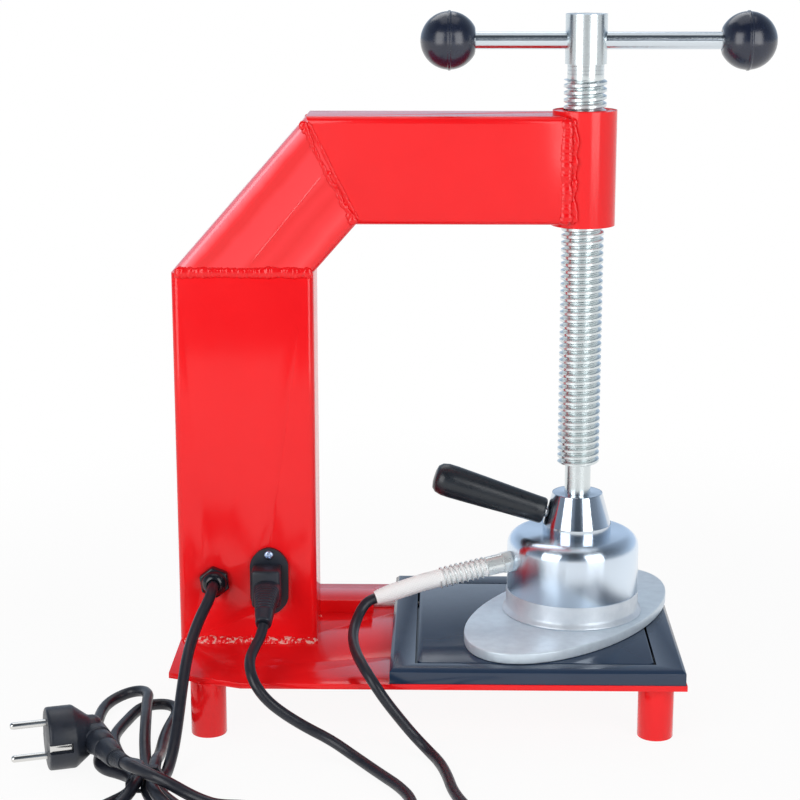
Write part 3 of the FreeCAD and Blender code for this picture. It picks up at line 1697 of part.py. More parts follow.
def neck_direction(rise):
    """The way the angled neck points in the plug's own frame, whose Z runs from the face to the rear."""
    turn = math.radians(s.plug_neck_turn.number)
    level = math.cos(math.radians(rise))
    return Vector(-math.sin(math.radians(rise)), -math.sin(turn) * level, math.cos(turn) * level)


def neck_end():
    return Vector(0, 0, s.plug_neck_offset.number) + neck_direction(0) * s.plug_neck_length.number


def plug_rear():
    """Where the mains cord enters the plug's relief, and the way it leaves."""
    direction = neck_direction(s.plug_relief_rise.number)
    end = neck_end() + direction * s.plug_relief_length.number
    turn = plug_rotation()
    return PLUG_FACE + turn.multVec(end), turn.multVec(direction)


def plug_placed(thing):
    """The plug is drawn standing on its face at the origin and is then laid on the floor."""
    thing.Placement = Placement(PLUG_FACE, plug_rotation())
    return thing


def plug_pin_rods(extra):
    rods = []
    for side in (-1, 1):
        foot = (side * s.plug_pin_spacing / 2, 0, -s.plug_pin_length)
        rods.append(cylinder(foot, s.plug_pin_diameter / 2 + extra, s.plug_pin_length + s.plug_pin_root))
    return rods


def make_plug():
    face = s.plug_face_diameter / 2
    shoulder = s.plug_shoulder_diameter / 2
    relief = s.plug_relief_diameter / 2
    body_end = s.plug_body_length
    shoulder_end = body_end + s.plug_shoulder_length
    hub_end = shoulder_end + s.plug_hub_length
    body = turned([
        (0, 0),
        (face - 1, 0),
        (face, 1),
        (face, body_end),
        (shoulder, shoulder_end),
        (shoulder, hub_end - 6),
        (shoulder * 0.72, hub_end - 1.5),
        (shoulder * 0.4, hub_end),
        (0, hub_end),
    ])
    root = (0, 0, s.plug_neck_offset)
    neck = cone(root, s.plug_neck_diameter / 2, s.plug_neck_end_diameter / 2, s.plug_neck_length, neck_direction(0))
    rise = neck_direction(s.plug_relief_rise.number)
    overlap = 2.0
    start = neck_end() - rise * overlap
    sleeve = cone(tuple(start), relief, relief * 0.84, s.plug_relief_length + overlap, rise)
    grooves = []
    for side in (-1, 1):
        depth = s.earth_groove_depth
        at = side * (face - depth / 2)
        grooves.append(middle_box((0, at, s.earth_clip_length / 2), (s.earth_groove_width, depth * 1.01, s.earth_clip_length)))
    keep(plug_placed(cut(fused(body, neck, sleeve), *grooves, *plug_pin_rods(0))), "plug_body")
    pins = []
    for rod in plug_pin_rods(0):
        pins.append(rod)
    keep(plug_placed(group(pins)), "plug_pins")
    clips = []
    for side in (-1, 1):
        at = side * (face - s.earth_groove_depth + s.earth_clip_thickness / 2)
        clips.append(middle_box((0, at, s.earth_clip_length / 2), (s.earth_clip_width, s.earth_clip_thickness, s.earth_clip_length)))
    keep(plug_placed(group(clips)), "plug_earth_clips")


# Control panel on the column's far side

panel_foot = base_top + s.panel_bottom
panel_face = back_face + s.panel_thickness


def panel_screw_spots():
    half = s.panel_width / 2 - s.panel_screw_inset
    return [
        (panel_middle + side * half, z)
        for side in (-1, 1)
        for z in (panel_foot + s.panel_screw_inset, panel_foot + s.panel_height - s.panel_screw_inset)
    ]


def dial_level(height):
    return base_top + height


def switch_spots():
    return [(panel_middle + side * s.switch_spacing / 2, base_top + s.switch_height) for side in (-1, 1)]


def lamp_spots():
    return [(panel_middle + side * s.lamp_spacing / 2, base_top + s.lamp_height) for side in (-1, 1)]


def make_panel():
    corner = (panel_middle - s.panel_width / 2, back_face, panel_foot)
    sheet_metal = box(corner, (s.panel_width, s.panel_thickness, s.panel_height))
    gap = s.panel_hole_clearance
    holes = [
        cylinder((x, back_face, z), s.panel_screw_diameter / 2 + gap, s.panel_thickness, BACK)
        for x, z in panel_screw_spots()
    ]
    for height in (s.timer_height, s.thermostat_height):
        foot = (panel_middle, back_face, dial_level(height))
        holes.append(cylinder(foot, s.dial_shaft_diameter / 2 + gap, s.panel_thickness, BACK))
    for x, z in switch_spots():
        sides = (s.switch_body_width + 2 * gap, 4 * s.panel_thickness, s.switch_body_height + 2 * gap)
        holes.append(middle_box((x, back_face, z), sides))
    for x, z in lamp_spots():
        holes.append(cylinder((x, back_face, z), s.lamp_body_diameter / 2 + gap, s.panel_thickness, BACK))
    keep(cut(sheet_metal, *holes), "control_panel")


def make_panel_screws():
    screws = []
    for x, z in panel_screw_spots():
        head = cylinder((x, panel_face, z), s.panel_screw_head / 2, s.panel_screw_diameter / 2, BACK)
        shank = cylinder((x, panel_face, z), s.panel_screw_diameter / 2, s.panel_thickness + 2 * s.tube_wall, FRONT)
        screws.append(fused(head, shank))
    keep(group(screws), "panel_screws")


def make_dial(name, height, depth):
    """A regulator behind the panel, and its knob moulded in one with the shaft."""
    z = dial_level(height)
    size = s.dial_body_size
    housing = middle_box((panel_middle, back_face - depth / 2, z), (size, depth, size))
    hole_radius = s.dial_shaft_diameter / 2 + s.running_clearance
    well = cylinder((panel_middle, back_face, z), hole_radius, depth / 2 + s.running_clearance, FRONT)
    keep(cut(housing, well), f"{name}_housing")
    shaft_length = depth / 2 + s.panel_thickness + s.dial_knob_gap + s.dial_knob_height / 2
    shaft = cylinder((panel_middle, back_face - depth / 2, z), s.dial_shaft_diameter / 2, shaft_length, BACK)
    skirt_foot = panel_face + s.dial_knob_gap
    radius = s.dial_knob_diameter / 2
    skirt_height = s.dial_knob_height - s.dial_grip_height
    skirt = cone((panel_middle, skirt_foot, z), radius, radius * 0.9, skirt_height, BACK)
    crown = cylinder((panel_middle, skirt_foot, z), radius * 0.86, s.dial_knob_height, BACK)
    grip_foot = skirt_foot + skirt_height
    bars = []
    for side in (-1, 1):
        corner_x = panel_middle + s.dial_grip_width / 2 if side > 0 else panel_middle - s.dial_grip_width / 2 - radius
        bars.append(box((corner_x, grip_foot, z - radius), (radius, s.dial_grip_height, 2 * radius)))
    keep(fused(cut(fused(skirt, crown), *bars), shaft), f"{name}_knob")


def rocker_centre_y():
    return panel_face + s.switch_flange_thickness - s.rocker_radius * 0.45


def make_switches():
    housings = []
    for (x, z), name in zip(switch_spots(), ("left_rocker", "right_rocker")):
        pivot = rocker_centre_y()
        flange = middle_box(
            (x, panel_face + s.switch_flange_thickness / 2, z),
            (s.switch_flange_width, s.switch_flange_thickness, s.switch_flange_height),
        )
        block = middle_box(
            (x, panel_face - s.switch_body_depth / 2, z),
            (s.switch_body_width, s.switch_body_depth, s.switch_body_height),
        )
        half = s.rocker_width / 2
        room = cylinder(
            (x - half - s.rocker_clearance, pivot, z),
            s.rocker_radius + s.rocker_clearance,
            s.rocker_width + 2 * s.rocker_clearance,
            RIGHT,
        )
        housings.append(cut(fused(flange, block), room))
        drum = cylinder((x - half, pivot, z), s.rocker_radius, s.rocker_width, RIGHT)
        outer = slab("YZ_Plane", [
            (-s.rocker_radius, -s.rocker_radius),
            (s.rocker_radius * 0.45 + s.rocker_rise, -s.rocker_radius),
            (s.rocker_radius * 0.45 + s.rocker_rise * 0.2, 0),
            (s.rocker_radius * 0.45 + s.rocker_rise * 0.5, s.rocker_radius),
            (-s.rocker_radius, s.rocker_radius),
        ], s.rocker_width)
        place(outer, x - half, pivot, z)
        keep(common(drum, outer), name)
    keep(group(housings), "switch_housings")


def make_lamps():
    lenses = []
    bodies = []
    for x, z in lamp_spots():
        rim = cylinder((x, panel_face, z), s.lamp_diameter / 2, s.panel_thickness, BACK)
        dome = doc.addObject("Part::Sphere", "dome")
        bind(dome, Radius=s.lamp_diameter / 2 - 1)
        place(dome, x, panel_face + s.panel_thickness, z)
        outside = box((x - s.lamp_diameter / 2, panel_face, z - s.lamp_diameter / 2), (s.lamp_diameter, s.lamp_diameter, s.lamp_diameter))
        lenses.append(fused(rim, common(dome, outside)))
        foot = (x, panel_face, z)
        bodies.append(cylinder(foot, s.lamp_body_diameter / 2, s.lamp_body_depth, FRONT))
    keep(group(lenses), "lamp_lenses")
    keep(group(bodies), "lamp_bodies")


# Terminal block and wires inside the column, and the platform's lead

def make_terminal_block():
    z = base_top + s.terminal_level
    y = front_face + s.tube_wall + s.terminal_depth / 2
    keep(middle_box((panel_middle, y, z), (s.terminal_length, s.terminal_depth, s.terminal_height)), "terminal_block")


def wire(points, diameter, name):
    spots = [Vector(*[sized(value).number for value in point]) for point in points]
    solid, _ = tube_along(spots, sized(diameter).number, name)
    return solid


def make_inner_wires():
    """Bundles from the terminal block to the gland, the inlet, the timer and the thermostat."""
    level = base_top + s.terminal_level
    below = level - s.terminal_height / 2
    above = level + s.terminal_height / 2
    wire_y = front_face + s.tube_wall + s.terminal_depth / 2
    spread = s.terminal_length / 2 - s.wire_diameter
    inlet_back = front_face + s.inlet_body_depth + s.blade_tail
    stem_end = front_face + s.tube_wall + s.mains_nut_thickness * 1.4
    timer_z = dial_level(s.timer_height)
    thermostat_z = dial_level(s.thermostat_height)
    thermostat_x = panel_middle + s.dial_body_size / 4
    routes = [
        [
            (gland_x, stem_end, gland_z),
            (gland_x, stem_end + 18, gland_z),
            (gland_x - 1.5, stem_end + 18, gland_z + 17),
            (panel_middle - spread, wire_y, below - 16),
            (panel_middle - spread, wire_y, below),
        ],
        [
            (inlet_x, inlet_back, inlet_z),
            (inlet_x, inlet_back + 15, inlet_z),
            (inlet_x, inlet_back + 15, inlet_z + 17),
            (inlet_x, wire_y, below - 15),
            (inlet_x, wire_y, below),
        ],
        [
            (panel_middle, wire_y, above),
            (panel_middle, wire_y, timer_z),
            (panel_middle, back_face - s.timer_body_depth, timer_z),
        ],
        [
            (thermostat_x, wire_y, above),
            (thermostat_x, wire_y, above + 13),
            (thermostat_x, wire_y + 1.5, above + 34),
            (thermostat_x, wire_y - 1, thermostat_z - 27),
            (thermostat_x, wire_y, thermostat_z),
            (thermostat_x, back_face - s.thermostat_body_depth, thermostat_z),
        ],
    ]
    solids = [wire(route, s.wire_diameter, "inner_wires") for route in routes]
    feature(Part.makeCompound(solids), "inner_wires")


def make_lower_lead():
    """The platform's lead, from the terminal block through the cover to the flat heater."""
    block_bottom = base_top + s.terminal_level - s.terminal_height / 2
    wire_y = front_face + s.tube_wall + s.terminal_depth / 2
    corner, _ = recess_box(s.groove_width)
    heater_edge = corner[0] + s.heater_margin
    route = [
        (lead_x, wire_y, block_bottom),
        (lead_x, wire_y, block_bottom - 16),
        (lead_x, wire_y + 15, block_bottom - 30),
        (lead_x, wire_y + 20, lead_exit_level + 24),
        (lead_x, wire_y + 20, lead_exit_level),
        (lead_x, lead_line_y - 13, lead_exit_level),
        (lead_x + 2, lead_line_y - 3, lead_level + 2),
        (lead_x + 16, lead_line_y, lead_level),
        (lead_x + 50, lead_line_y + 2, lead_level),
        (platform_left - 34, lead_line_y, lead_level),
        (heater_edge, lead_line_y, lead_level),
    ]
    feature(wire(route, s.lead_diameter, "platform_lead"), "platform_lead")


def build():
    make_base_plate()
    make_legs()
    make_column()
    make_diagonal()
    make_arm()
    make_nut_boss()
    make_welds()
    make_wire_cover()
    make_platform_frame()
    make_lower_plate()
    make_lower_heater()
    make_lower_insulation()
    make_platform_screws()
    make_press_screw()
    make_tommy_bar()
    make_thrust_washer()
    make_retaining_ring()
    make_collar()
    make_handle()
    make_cap()
    make_heater_body()
    make_head_heater()
    make_head_screws()
    make_shoe()
    make_shoe_screws()
    make_head_gland()
    make_sleeve_and_spring()
    make_inlet()
    make_inlet_screws()
    make_inlet_pins()
    make_connector()
    make_head_cord()
    make_mains_gland()
    make_mains_cord()
    make_hank()
    make_hank_tie()
    make_plug()
    make_panel()
    make_panel_screws()
    make_dial("timer", s.timer_height, s.timer_body_depth)
    make_dial("thermostat", s.thermostat_height, s.thermostat_body_depth)
    make_switches()
    make_lamps()
    make_terminal_block()
    make_inner_wires()
    make_lower_lead()


def check():
    """Every feature has to be sound before a file is written."""
    for item in doc.Objects:
        if "Invalid" in item.State or "Error" in item.State:
            raise ValueError(f"{item.Label} failed: {item.State}")
    for node in nodes:
        if node.Shape.isNull() or not node.Shape.isValid() or not node.Shape.Solids:
            raise ValueError(f"{node.Label} has no sound shape")


def write():
    os.makedirs("parts", exist_ok=True)
    for node in nodes:
        node.Shape.exportStep(f"parts/{node.Label}.step")
    print(len(nodes), "nodes written")


build()
doc.recompute()
check()
write()
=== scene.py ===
from math import acos, copysign, cos, pi, radians, sin, sqrt, tau

import bmesh
import bpy
from mathutils import Matrix, Vector, noise


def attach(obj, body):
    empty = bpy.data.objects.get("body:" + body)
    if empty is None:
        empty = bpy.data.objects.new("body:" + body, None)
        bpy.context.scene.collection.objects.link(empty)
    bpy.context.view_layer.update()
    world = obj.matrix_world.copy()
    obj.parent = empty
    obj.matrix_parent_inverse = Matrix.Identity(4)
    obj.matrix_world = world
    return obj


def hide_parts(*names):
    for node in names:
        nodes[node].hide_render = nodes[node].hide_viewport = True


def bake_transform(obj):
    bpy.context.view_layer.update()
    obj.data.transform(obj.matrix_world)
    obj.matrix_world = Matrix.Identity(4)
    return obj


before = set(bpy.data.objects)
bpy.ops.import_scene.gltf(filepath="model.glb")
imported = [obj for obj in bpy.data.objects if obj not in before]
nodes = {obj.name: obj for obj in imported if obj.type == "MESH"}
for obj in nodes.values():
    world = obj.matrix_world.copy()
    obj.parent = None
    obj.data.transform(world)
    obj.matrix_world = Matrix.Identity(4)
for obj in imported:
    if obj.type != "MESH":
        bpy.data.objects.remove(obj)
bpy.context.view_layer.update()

scene = bpy.context.scene
mm = 0.001
up = Vector((0, 0, 1))


def at(x, y, z):
    return Vector((x, y, z)) * mm


def srgb(hexText):
    values = [int(hexText[i:i + 2], 16) / 255 for i in (1, 3, 5)]
    linear = [v / 12.92 if v <= 0.04045 else ((v + 0.055) / 1.055) ** 2.4 for v in values]
    return (*linear, 1)


def placed(name, data):
    item = bpy.data.objects.new(name, data)
    scene.collection.objects.link(item)
    return item


# The camera stands where the photograph was taken from.
view = {"place": (-19.1, -1418.1, 556.8), "pitch": 13.37, "yaw": 1.24, "roll": 0.05, "lens": 91.05, "reach": 50}
cameraData = bpy.data.cameras.new("camera")
cameraData.lens = view["lens"]
cameraData.sensor_width = 36
cameraData.clip_end = view["reach"]
camera = placed("camera", cameraData)
camera.location = at(*view["place"])
camera.rotation_euler = radians(90 - view["pitch"]), radians(view["roll"]), radians(view["yaw"])
scene.camera = camera
scene.view_settings.view_transform = "Standard"


# Nodes and materials

def addNode(tree, kind, settings=(), links=()):
    node = tree.nodes.new("ShaderNode" + kind)
    for key, value in dict(settings).items():
        if isinstance(key, str) and hasattr(node, key):
            setattr(node, key, value)
        else:
            node.inputs[key].default_value = value
    for key, socket in dict(links).items():
        tree.links.new(socket, node.inputs[key])
    return node


# A sum on sockets and plain numbers.
def maths(tree, operation, *values):
    links = {i: value for i, value in enumerate(values) if hasattr(value, "is_linked")}
    numbers = {i: value for i, value in enumerate(values) if i not in links}
    return addNode(tree, "Math", {"operation": operation, **numbers}, links).outputs[0]


def vectorMaths(tree, operation, first, *second):
    return addNode(tree, "VectorMath", {"operation": operation, **dict(enumerate(second, 1))}, {0: first}).outputs


def spread(tree, value, fromLow, fromHigh, low=0.0, high=1.0, kind="LINEAR"):
    settings = {"interpolation_type": kind, "From Min": fromLow, "From Max": fromHigh, "To Min": low, "To Max": high}
    return addNode(tree, "MapRange", settings, {"Value": value}).outputs["Result"]


# A noise whose grains have a size in mm.
def grains(tree, place, size, detail, settings=()):
    settings = {**dict(settings), "Scale": 1 / (size * mm), "Detail": detail}
    return addNode(tree, "TexNoise", settings, {"Vector": place}).outputs["Fac"]


def mottle(tree, place, size, low, high, detail=3.0):
    return spread(tree, grains(tree, place, size, detail), 0.3, 0.7, low, high)


def drive(tree, shader, socket, value):
    tree.links.new(value, shader.inputs[socket])


def bumped(tree, shader, height):
    bump = addNode(tree, "Bump", {"Strength": 1, "Distance": 1}, {"Height": height})
    drive(tree, shader, "Normal", bump.outputs["Normal"])


# Bumps in real heights: each layer is a grain's size and its height in mm.
def relief(tree, shader, place, layers):
    height = ()
    for size, rise in layers:
        height = (maths(tree, "MULTIPLY_ADD", grains(tree, place, size, 2.0), rise * mm, *height),)
    bumped(tree, shader, *height)


def shaded(tree, shader, share, first, second):
    mix = addNode(tree, "Mix", {"data_type": "RGBA", 6: srgb(first), 7: srgb(second)}, {0: share})
    drive(tree, shader, "Base Color", mix.outputs[2])


# Colours, or plain brightnesses, at spots along a share of 0 to 1.
def ramped(tree, value, stops):
    ramp = addNode(tree, "ValToRGB", {}, {"Fac": value})
    elements = ramp.color_ramp.elements
    for spot, colour in stops[1:-1]:
        elements.new(spot)
    for element, (spot, colour) in zip(elements, stops):
        element.position = spot
        element.color = srgb(colour) if isinstance(colour, str) else (colour, colour, colour, 1)
    return ramp.outputs["Color"]


def newMaterial(name, settings):
    material = bpy.data.materials.new(name)
    material.use_nodes = True
    tree = material.node_tree
    shader = tree.nodes["Principled BSDF"]
    for key, value in settings.items():
        shader.inputs[key].default_value = value
    place = addNode(tree, "TexCoord").outputs["Object"]
    return material, tree, shader, place


# Two close shades and a gloss, each in patches of a size in mm, over bumps.
def patchy(name, settings, first, second, shadeSize, roughness, roughSize, layers):
    material, tree, shader, place = newMaterial(name, settings)
    shaded(tree, shader, mottle(tree, place, shadeSize, 0, 1), first, second)
    drive(tree, shader, "Roughness", mottle(tree, place, roughSize, roughness * 0.85, roughness * 1.2))
    relief(tree, shader, place, layers)
    return material


# Gloss enamel sprayed over welded steel: soft orange peel, and the sheet's own slow waves under it.
def sprayedEnamel(name, first, second, roughness, peel, wave=9, gloss=0.42):
    settings = {"IOR": 1.48, "Specular IOR Level": gloss}
    return patchy(name, settings, first, second, 60, roughness, 14, [(2.2, peel), (38, peel * wave)])


# Sand cast and machined aluminium: dull, with a fine grain.
def dullAluminium(name, first, second, roughness, metal=1.0, grain=0.012):
    return patchy(name, {"Metallic": metal}, first, second, 7, roughness, 3, [(0.5, grain), (5, grain * 4)])


# Moulded plastic: a thin skin of gloss over a slightly grained mould face.
def moulded(name, first, second, roughness, grain, rise, extra=()):
    return patchy(name, {"IOR": 1.5, **dict(extra)}, first, second, 12, roughness, 6, [(grain, rise)])


# Coordinates that run out from an axis and along it, for marks left by a lathe.
def lathePlace(tree, place, centre, axis):
    offset = vectorMaths(tree, "SUBTRACT", place, at(*centre))[0]
    across = vectorMaths(tree, "MULTIPLY", offset, [1 - abs(value) for value in axis])[0]
    out = vectorMaths(tree, "LENGTH", across)["Value"]
    along = vectorMaths(tree, "DOT_PRODUCT", offset, axis)["Value"]
    return addNode(tree, "CombineXYZ", {}, {"X": out, "Y": along}).outputs[0]


# Zinc plated or polished steel off a lathe: bright, with fine rings round its axis. The tool's marks stretch
# each reflection across the rings, which smear says how much of.
def turnedMetal(name, colour, roughness, ringRise, ringWidth=0.35, centre=(0, 0, 0), axis=(0, 0, 1), smear=0.0,
                wornSize=9):
    material, tree, shader, place = newMaterial(name, {
        "Base Color": srgb(colour), "Metallic": 1, "Anisotropic": smear, "Anisotropic Rotation": 0.25})
    if smear:
        tangent = addNode(tree, "Tangent", {"direction_type": "RADIAL", "axis": "X" if axis[0] else "Z"})
        drive(tree, shader, "Tangent", tangent.outputs[0])
    fine = grains(tree, lathePlace(tree, place, centre, axis), ringWidth, 3, {"noise_dimensions": "2D"})
    drive(tree, shader, "Roughness", mottle(tree, place, wornSize, roughness * 0.88, roughness * 1.15, 1.5))
    bumped(tree, shader, maths(tree, "MULTIPLY", fine, ringRise * mm))
    return material


screwAxis = (78.8, 0, 0)
headAxis = (76.2, 0, 0)
barLevel = 475.2

redEnamel = sprayedEnamel("redGlossEnamel", "#FC1C21", "#F7171D", 0.14, 0.0025)
slateEnamel = sprayedEnamel("slateBlackEnamel", "#23344C", "#2A3B53", 0.17, 0.002, 9, 0.6)
zincScrew = turnedMetal("zincPlatedTurnedSteel", "#DCE3E4", 0.27, 0.002, 0.35, screwAxis, smear=0.5)
zincBar = turnedMetal("zincPlatedBar", "#D8E0E6", 0.22, 0.003, 0.7, (0, 0, barLevel), (1, 0, 0), 0.6, 25)
chromeHead = turnedMetal("satinChromePlate", "#E2EEFA", 0.2, 0.0002, 1.5, headAxis, smear=1.0, wornSize=60)
chromeCollar = turnedMetal("polishedCollarPlate", "#D2DBE4", 0.14, 0.0015, 0.4, screwAxis, smear=0.5)
zincPlate = turnedMetal("zincPlatedFixings", "#D3D6D9", 0.3, 0.004, 0.8)
blueZinc = turnedMetal("bluePassivatedScrews", "#BFD0EE", 0.3, 0.004, 0.8)
castAluminium = dullAluminium("dullCastAluminium", "#D9E1E9", "#CED7E0", 0.4, 0.5)
shoeAluminium = dullAluminium("sandCastShoeAluminium", "#E1EEF8", "#D6E3EE", 0.4, 0.35)
satinNickel = dullAluminium("satinTurnedGland", "#EEF3F2", "#E6ECEC", 0.3, 0.6, 0.001)
blackPhenolic = moulded("satinBlackPhenolicBall", "#151C30", "#1B2338", 0.24, 1.5, 0.001,
                        {"Coat Weight": 0.45, "Coat Roughness": 0.22})
satinPhenolic = moulded("satinBlackPhenolic", "#1B2027", "#22282F", 0.3, 0.8, 0.003)
blackNylon = moulded("mouldedBlackNylon", "#1C212A", "#232935", 0.4, 0.6, 0.008)
glossNylon = moulded("glossBlackNylon", "#12151B", "#171B23", 0.2, 0.6, 0.003)
cordSheath = moulded("blackVinylCordSheath", "#191B25", "#20232D", 0.36, 1.2, 0.01)
redLens = moulded("redAcrylicLens", "#C8100A", "#B00C08", 0.08, 2.0, 0.001, {"Transmission Weight": 0.35, "IOR": 1.49})
redRocker = moulded("redTranslucentRocker", "#B80D0A", "#A30A08", 0.2, 1.0, 0.002, {"Transmission Weight": 0.15})
whiteInk = moulded("whiteScreenInk", "#EDEEEC", "#E4E5E3", 0.5, 1.0, 0.001)
blackInk = moulded("blackScreenInk", "#15171A", "#1B1D20", 0.5, 1.0, 0.001)
panelSteel = turnedMetal("brushedPanelSteel", "#B9BBBD", 0.32, 0.006, 0.25)
mineralBoard = moulded("pressedMineralBoard", "#C9B98F", "#B9A77C", 0.85, 0.7, 0.05)
heaterSheath = dullAluminium("brownedHeaterSheath", "#6E6258", "#5A4F47", 0.5)
turnedBrass = turnedMetal("turnedBrassWasher", "#C9A25A", 0.25, 0.004, 0.35, screwAxis)
nickelPlate = turnedMetal("nickelPlatedContacts", "#DEDDDA", 0.16, 0.001)
wireSheath = moulded("colouredWireSheath", "#8A4A1E", "#7A3F18", 0.4, 1.0, 0.01)
whiteSleeving = moulded("whiteGlassSleeving", "#F2F3F2", "#E6E7E6", 0.7, 0.9, 0.08)


# Enamel run over a rough bead: it flakes to pale primer on the foot's beads, which were welded last.
def flakedEnamel():
    material, tree, shader, place = newMaterial("redEnamelOverWeld", {"IOR": 1.48})
    flakes = spread(tree, grains(tree, place, 2.6, 3.0), 0.53, 0.58)
    height = addNode(tree, "SeparateXYZ", {}, {0: place}).outputs["Z"]
    share = maths(tree, "MULTIPLY", flakes, maths(tree, "LESS_THAN", height, 60 * mm))
    shaded(tree, shader, share, "#F41219", "#F4B9AE")
    drive(tree, shader, "Roughness", spread(tree, share, 0, 1, 0.16, 0.5))
    relief(tree, shader, place, [(1.1, 0.06)])
    return material


# Glass yarn braided round the cord: two sets of strands that cross, from the sweep's own lengths.
def braidedGlass():
    material, tree, shader, _ = newMaterial("braidedWhiteGlass", {"Roughness": 0.62})
    uv = addNode(tree, "SeparateXYZ", {}, {0: addNode(tree, "TexCoord").outputs["UV"]}).outputs
    strand = 2.2 * mm
    leans = [maths(tree, "MULTIPLY_ADD", uv["Y"], side, uv["X"]) for side in (1.0, -1.0)]
    waves = [maths(tree, "SINE", maths(tree, "MULTIPLY", lean, tau / strand)) for lean in leans]
    top = maths(tree, "MAXIMUM", *waves)
    # The hollows between the strands are a little greyer than their tops: painted shade.
    shaded(tree, shader, spread(tree, top, -1.0, 1.0), "#EDEFF0", "#FFFFFF")
    bumped(tree, shader, maths(tree, "MULTIPLY", top, 0.09 * mm))
    return material


weldEnamel = flakedEnamel()
braid = braidedGlass()
print("materials made")


# Shapes to meshes and back

def meshOf(bm, name="part"):
    mesh = bpy.data.meshes.new(name)
    bm.to_mesh(mesh)
    bm.free()
    return mesh


def bmOf(mesh):
    bm = bmesh.new()
    bm.from_mesh(mesh)
    bpy.data.meshes.remove(mesh)
    return bm


# What an object shows with its modifiers or its curve worked out.
def worked(holder):
    bpy.context.view_layer.update()
    return bpy.data.meshes.new_from_object(holder.evaluated_get(bpy.context.evaluated_depsgraph_get()))


# Floor, backdrop and soft light: two tall softboxes in front, a pale wall low behind, a darker ceiling

studio = {
    "floorSize": 30,
    "floorColour": "#F4F4F5",
    "shadowShare": 0.93,
    "shadowReach": (0.30, 0.85),
    "fill": 0.26,
    "wallColour": "#CBDDF3",
    "wallStrength": 1.05,
    # the room that metal and gloss show, round from the front: share of the turn and brightness
    "roomTurn": [(0.0, 0.95), (0.14, 0.9), (0.27, 0.42), (0.36, 0.32), (0.455, 0.4), (0.475, 0.16), (0.525, 0.16),
                 (0.545, 0.4), (0.64, 0.3), (0.73, 0.4), (0.86, 0.9), (1.0, 0.95)],
    # and from below to above
    "roomHeight": [(0.0, 1.0), (0.52, 1.0), (0.62, 0.95), (0.74, 0.58), (0.9, 0.34), (1.0, 0.3)],
    # name, place and size in metres, power in watts
    "lamps": [
        ("leftSoftbox", (-1.08, -1.26, 0.78), (1.0, 1.3), 13.0),
        ("rightSoftbox", (1.02, -1.28, 0.78), (0.9, 1.3), 12.0),
        ("ceilingFill", (0.0, 0.15, 2.1), (1.6, 1.2), 4.5),
        ("backFill", (-0.4, 1.35, 1.9), (1.6, 1.0), 8.0),
    ],
    "lampsAim": (0, 0, 0.3),
}
white = (1, 1, 1, 1)


# White where the camera or a mirror looks at it, and a plain pale floor for all other light.
def makeFloor():
    bm = bmesh.new()
    bmesh.ops.create_grid(bm, x_segments=1, y_segments=1, size=studio["floorSize"] / 2)
    floorData = meshOf(bm, "floor")
    placed("floor", floorData)
    paper, tree, shader, place = newMaterial("paleFloorPaper", {
        "Base Color": srgb(studio["floorColour"]), "Roughness": 0.9})
    rays = addNode(tree, "LightPath").outputs
    shown = maths(tree, "MAXIMUM", rays["Is Camera Ray"], rays["Is Glossy Ray"])
    shown = maths(tree, "MAXIMUM", shown, rays["Is Transmission Ray"])
    away = vectorMaths(tree, "LENGTH", place)["Value"]
    share = spread(tree, away, *studio["shadowReach"], studio["shadowShare"], 1.0, "SMOOTHSTEP")
    glow = addNode(tree, "Emission", {"Color": white, "Strength": 1})
    links = {0: maths(tree, "MULTIPLY", share, shown), 1: shader.outputs[0], 2: glow.outputs[0]}
    mixed = addNode(tree, "MixShader", {}, links)
    tree.links.new(mixed.outputs[0], tree.nodes["Material Output"].inputs["Surface"])
    floorData.materials.append(paper)


def makeWorld():
    world = bpy.data.worlds.new("paleRoom")
    scene.world = world
    world.use_nodes = True
    tree = world.node_tree
    way = addNode(tree, "SeparateXYZ", {}, {0: addNode(tree, "TexCoord").outputs["Generated"]}).outputs
    # the turn is 0.5 straight towards the camera, more to the right and less to the left
    turn = maths(tree, "ARCTAN2", way["X"], maths(tree, "MULTIPLY", way["Y"], -1.0))
    around = ramped(tree, maths(tree, "MULTIPLY_ADD", turn, 1 / tau, 0.5), studio["roomTurn"])
    high = ramped(tree, maths(tree, "MULTIPLY_ADD", way["Z"], 0.5, 0.5), studio["roomHeight"])
    multiply = {"data_type": "RGBA", "blend_type": "MULTIPLY", 0: 1.0}
    both = addNode(tree, "Mix", multiply, {6: around, 7: high}).outputs[2]
    tinted = addNode(tree, "Mix", {**multiply, 7: srgb(studio["wallColour"])}, {6: both}).outputs[2]
    room = addNode(tree, "Background", {"Strength": studio["wallStrength"]}, {"Color": tinted})
    rays = addNode(tree, "LightPath").outputs
    fill = tree.nodes["Background"]
    fill.inputs["Color"].default_value = white
    fill.inputs["Strength"].default_value = studio["fill"]
    wall = addNode(tree, "Background", {"Color": white, "Strength": 1})
    mirrored = maths(tree, "MAXIMUM", rays["Is Glossy Ray"], rays["Is Transmission Ray"])
    seen = addNode(tree, "MixShader", {}, {0: mirrored, 1: fill.outputs[0], 2: room.outputs[0]})
    final = addNode(tree, "MixShader", {}, {0: rays["Is Camera Ray"], 1: seen.outputs[0], 2: wall.outputs[0]})
    tree.links.new(final.outputs[0], tree.nodes["World Output"].inputs["Surface"])


def makeLamps():
    for name, place, size, power in studio["lamps"]:
        lampData = bpy.data.lights.new(name, "AREA")
        lampData.shape = "RECTANGLE"
        lampData.size, lampData.size_y = size
        lampData.energy = power
        lamp = placed(name, lampData)
        lamp.location = place
        lamp.rotation_euler = (Vector(studio["lampsAim"]) - Vector(place)).to_track_quat("-Z", "Y").to_euler()
        lamp.visible_camera = False


makeFloor()
makeWorld()
makeLamps()
print("camera, floor and lamps placed")


# Shaping helpers

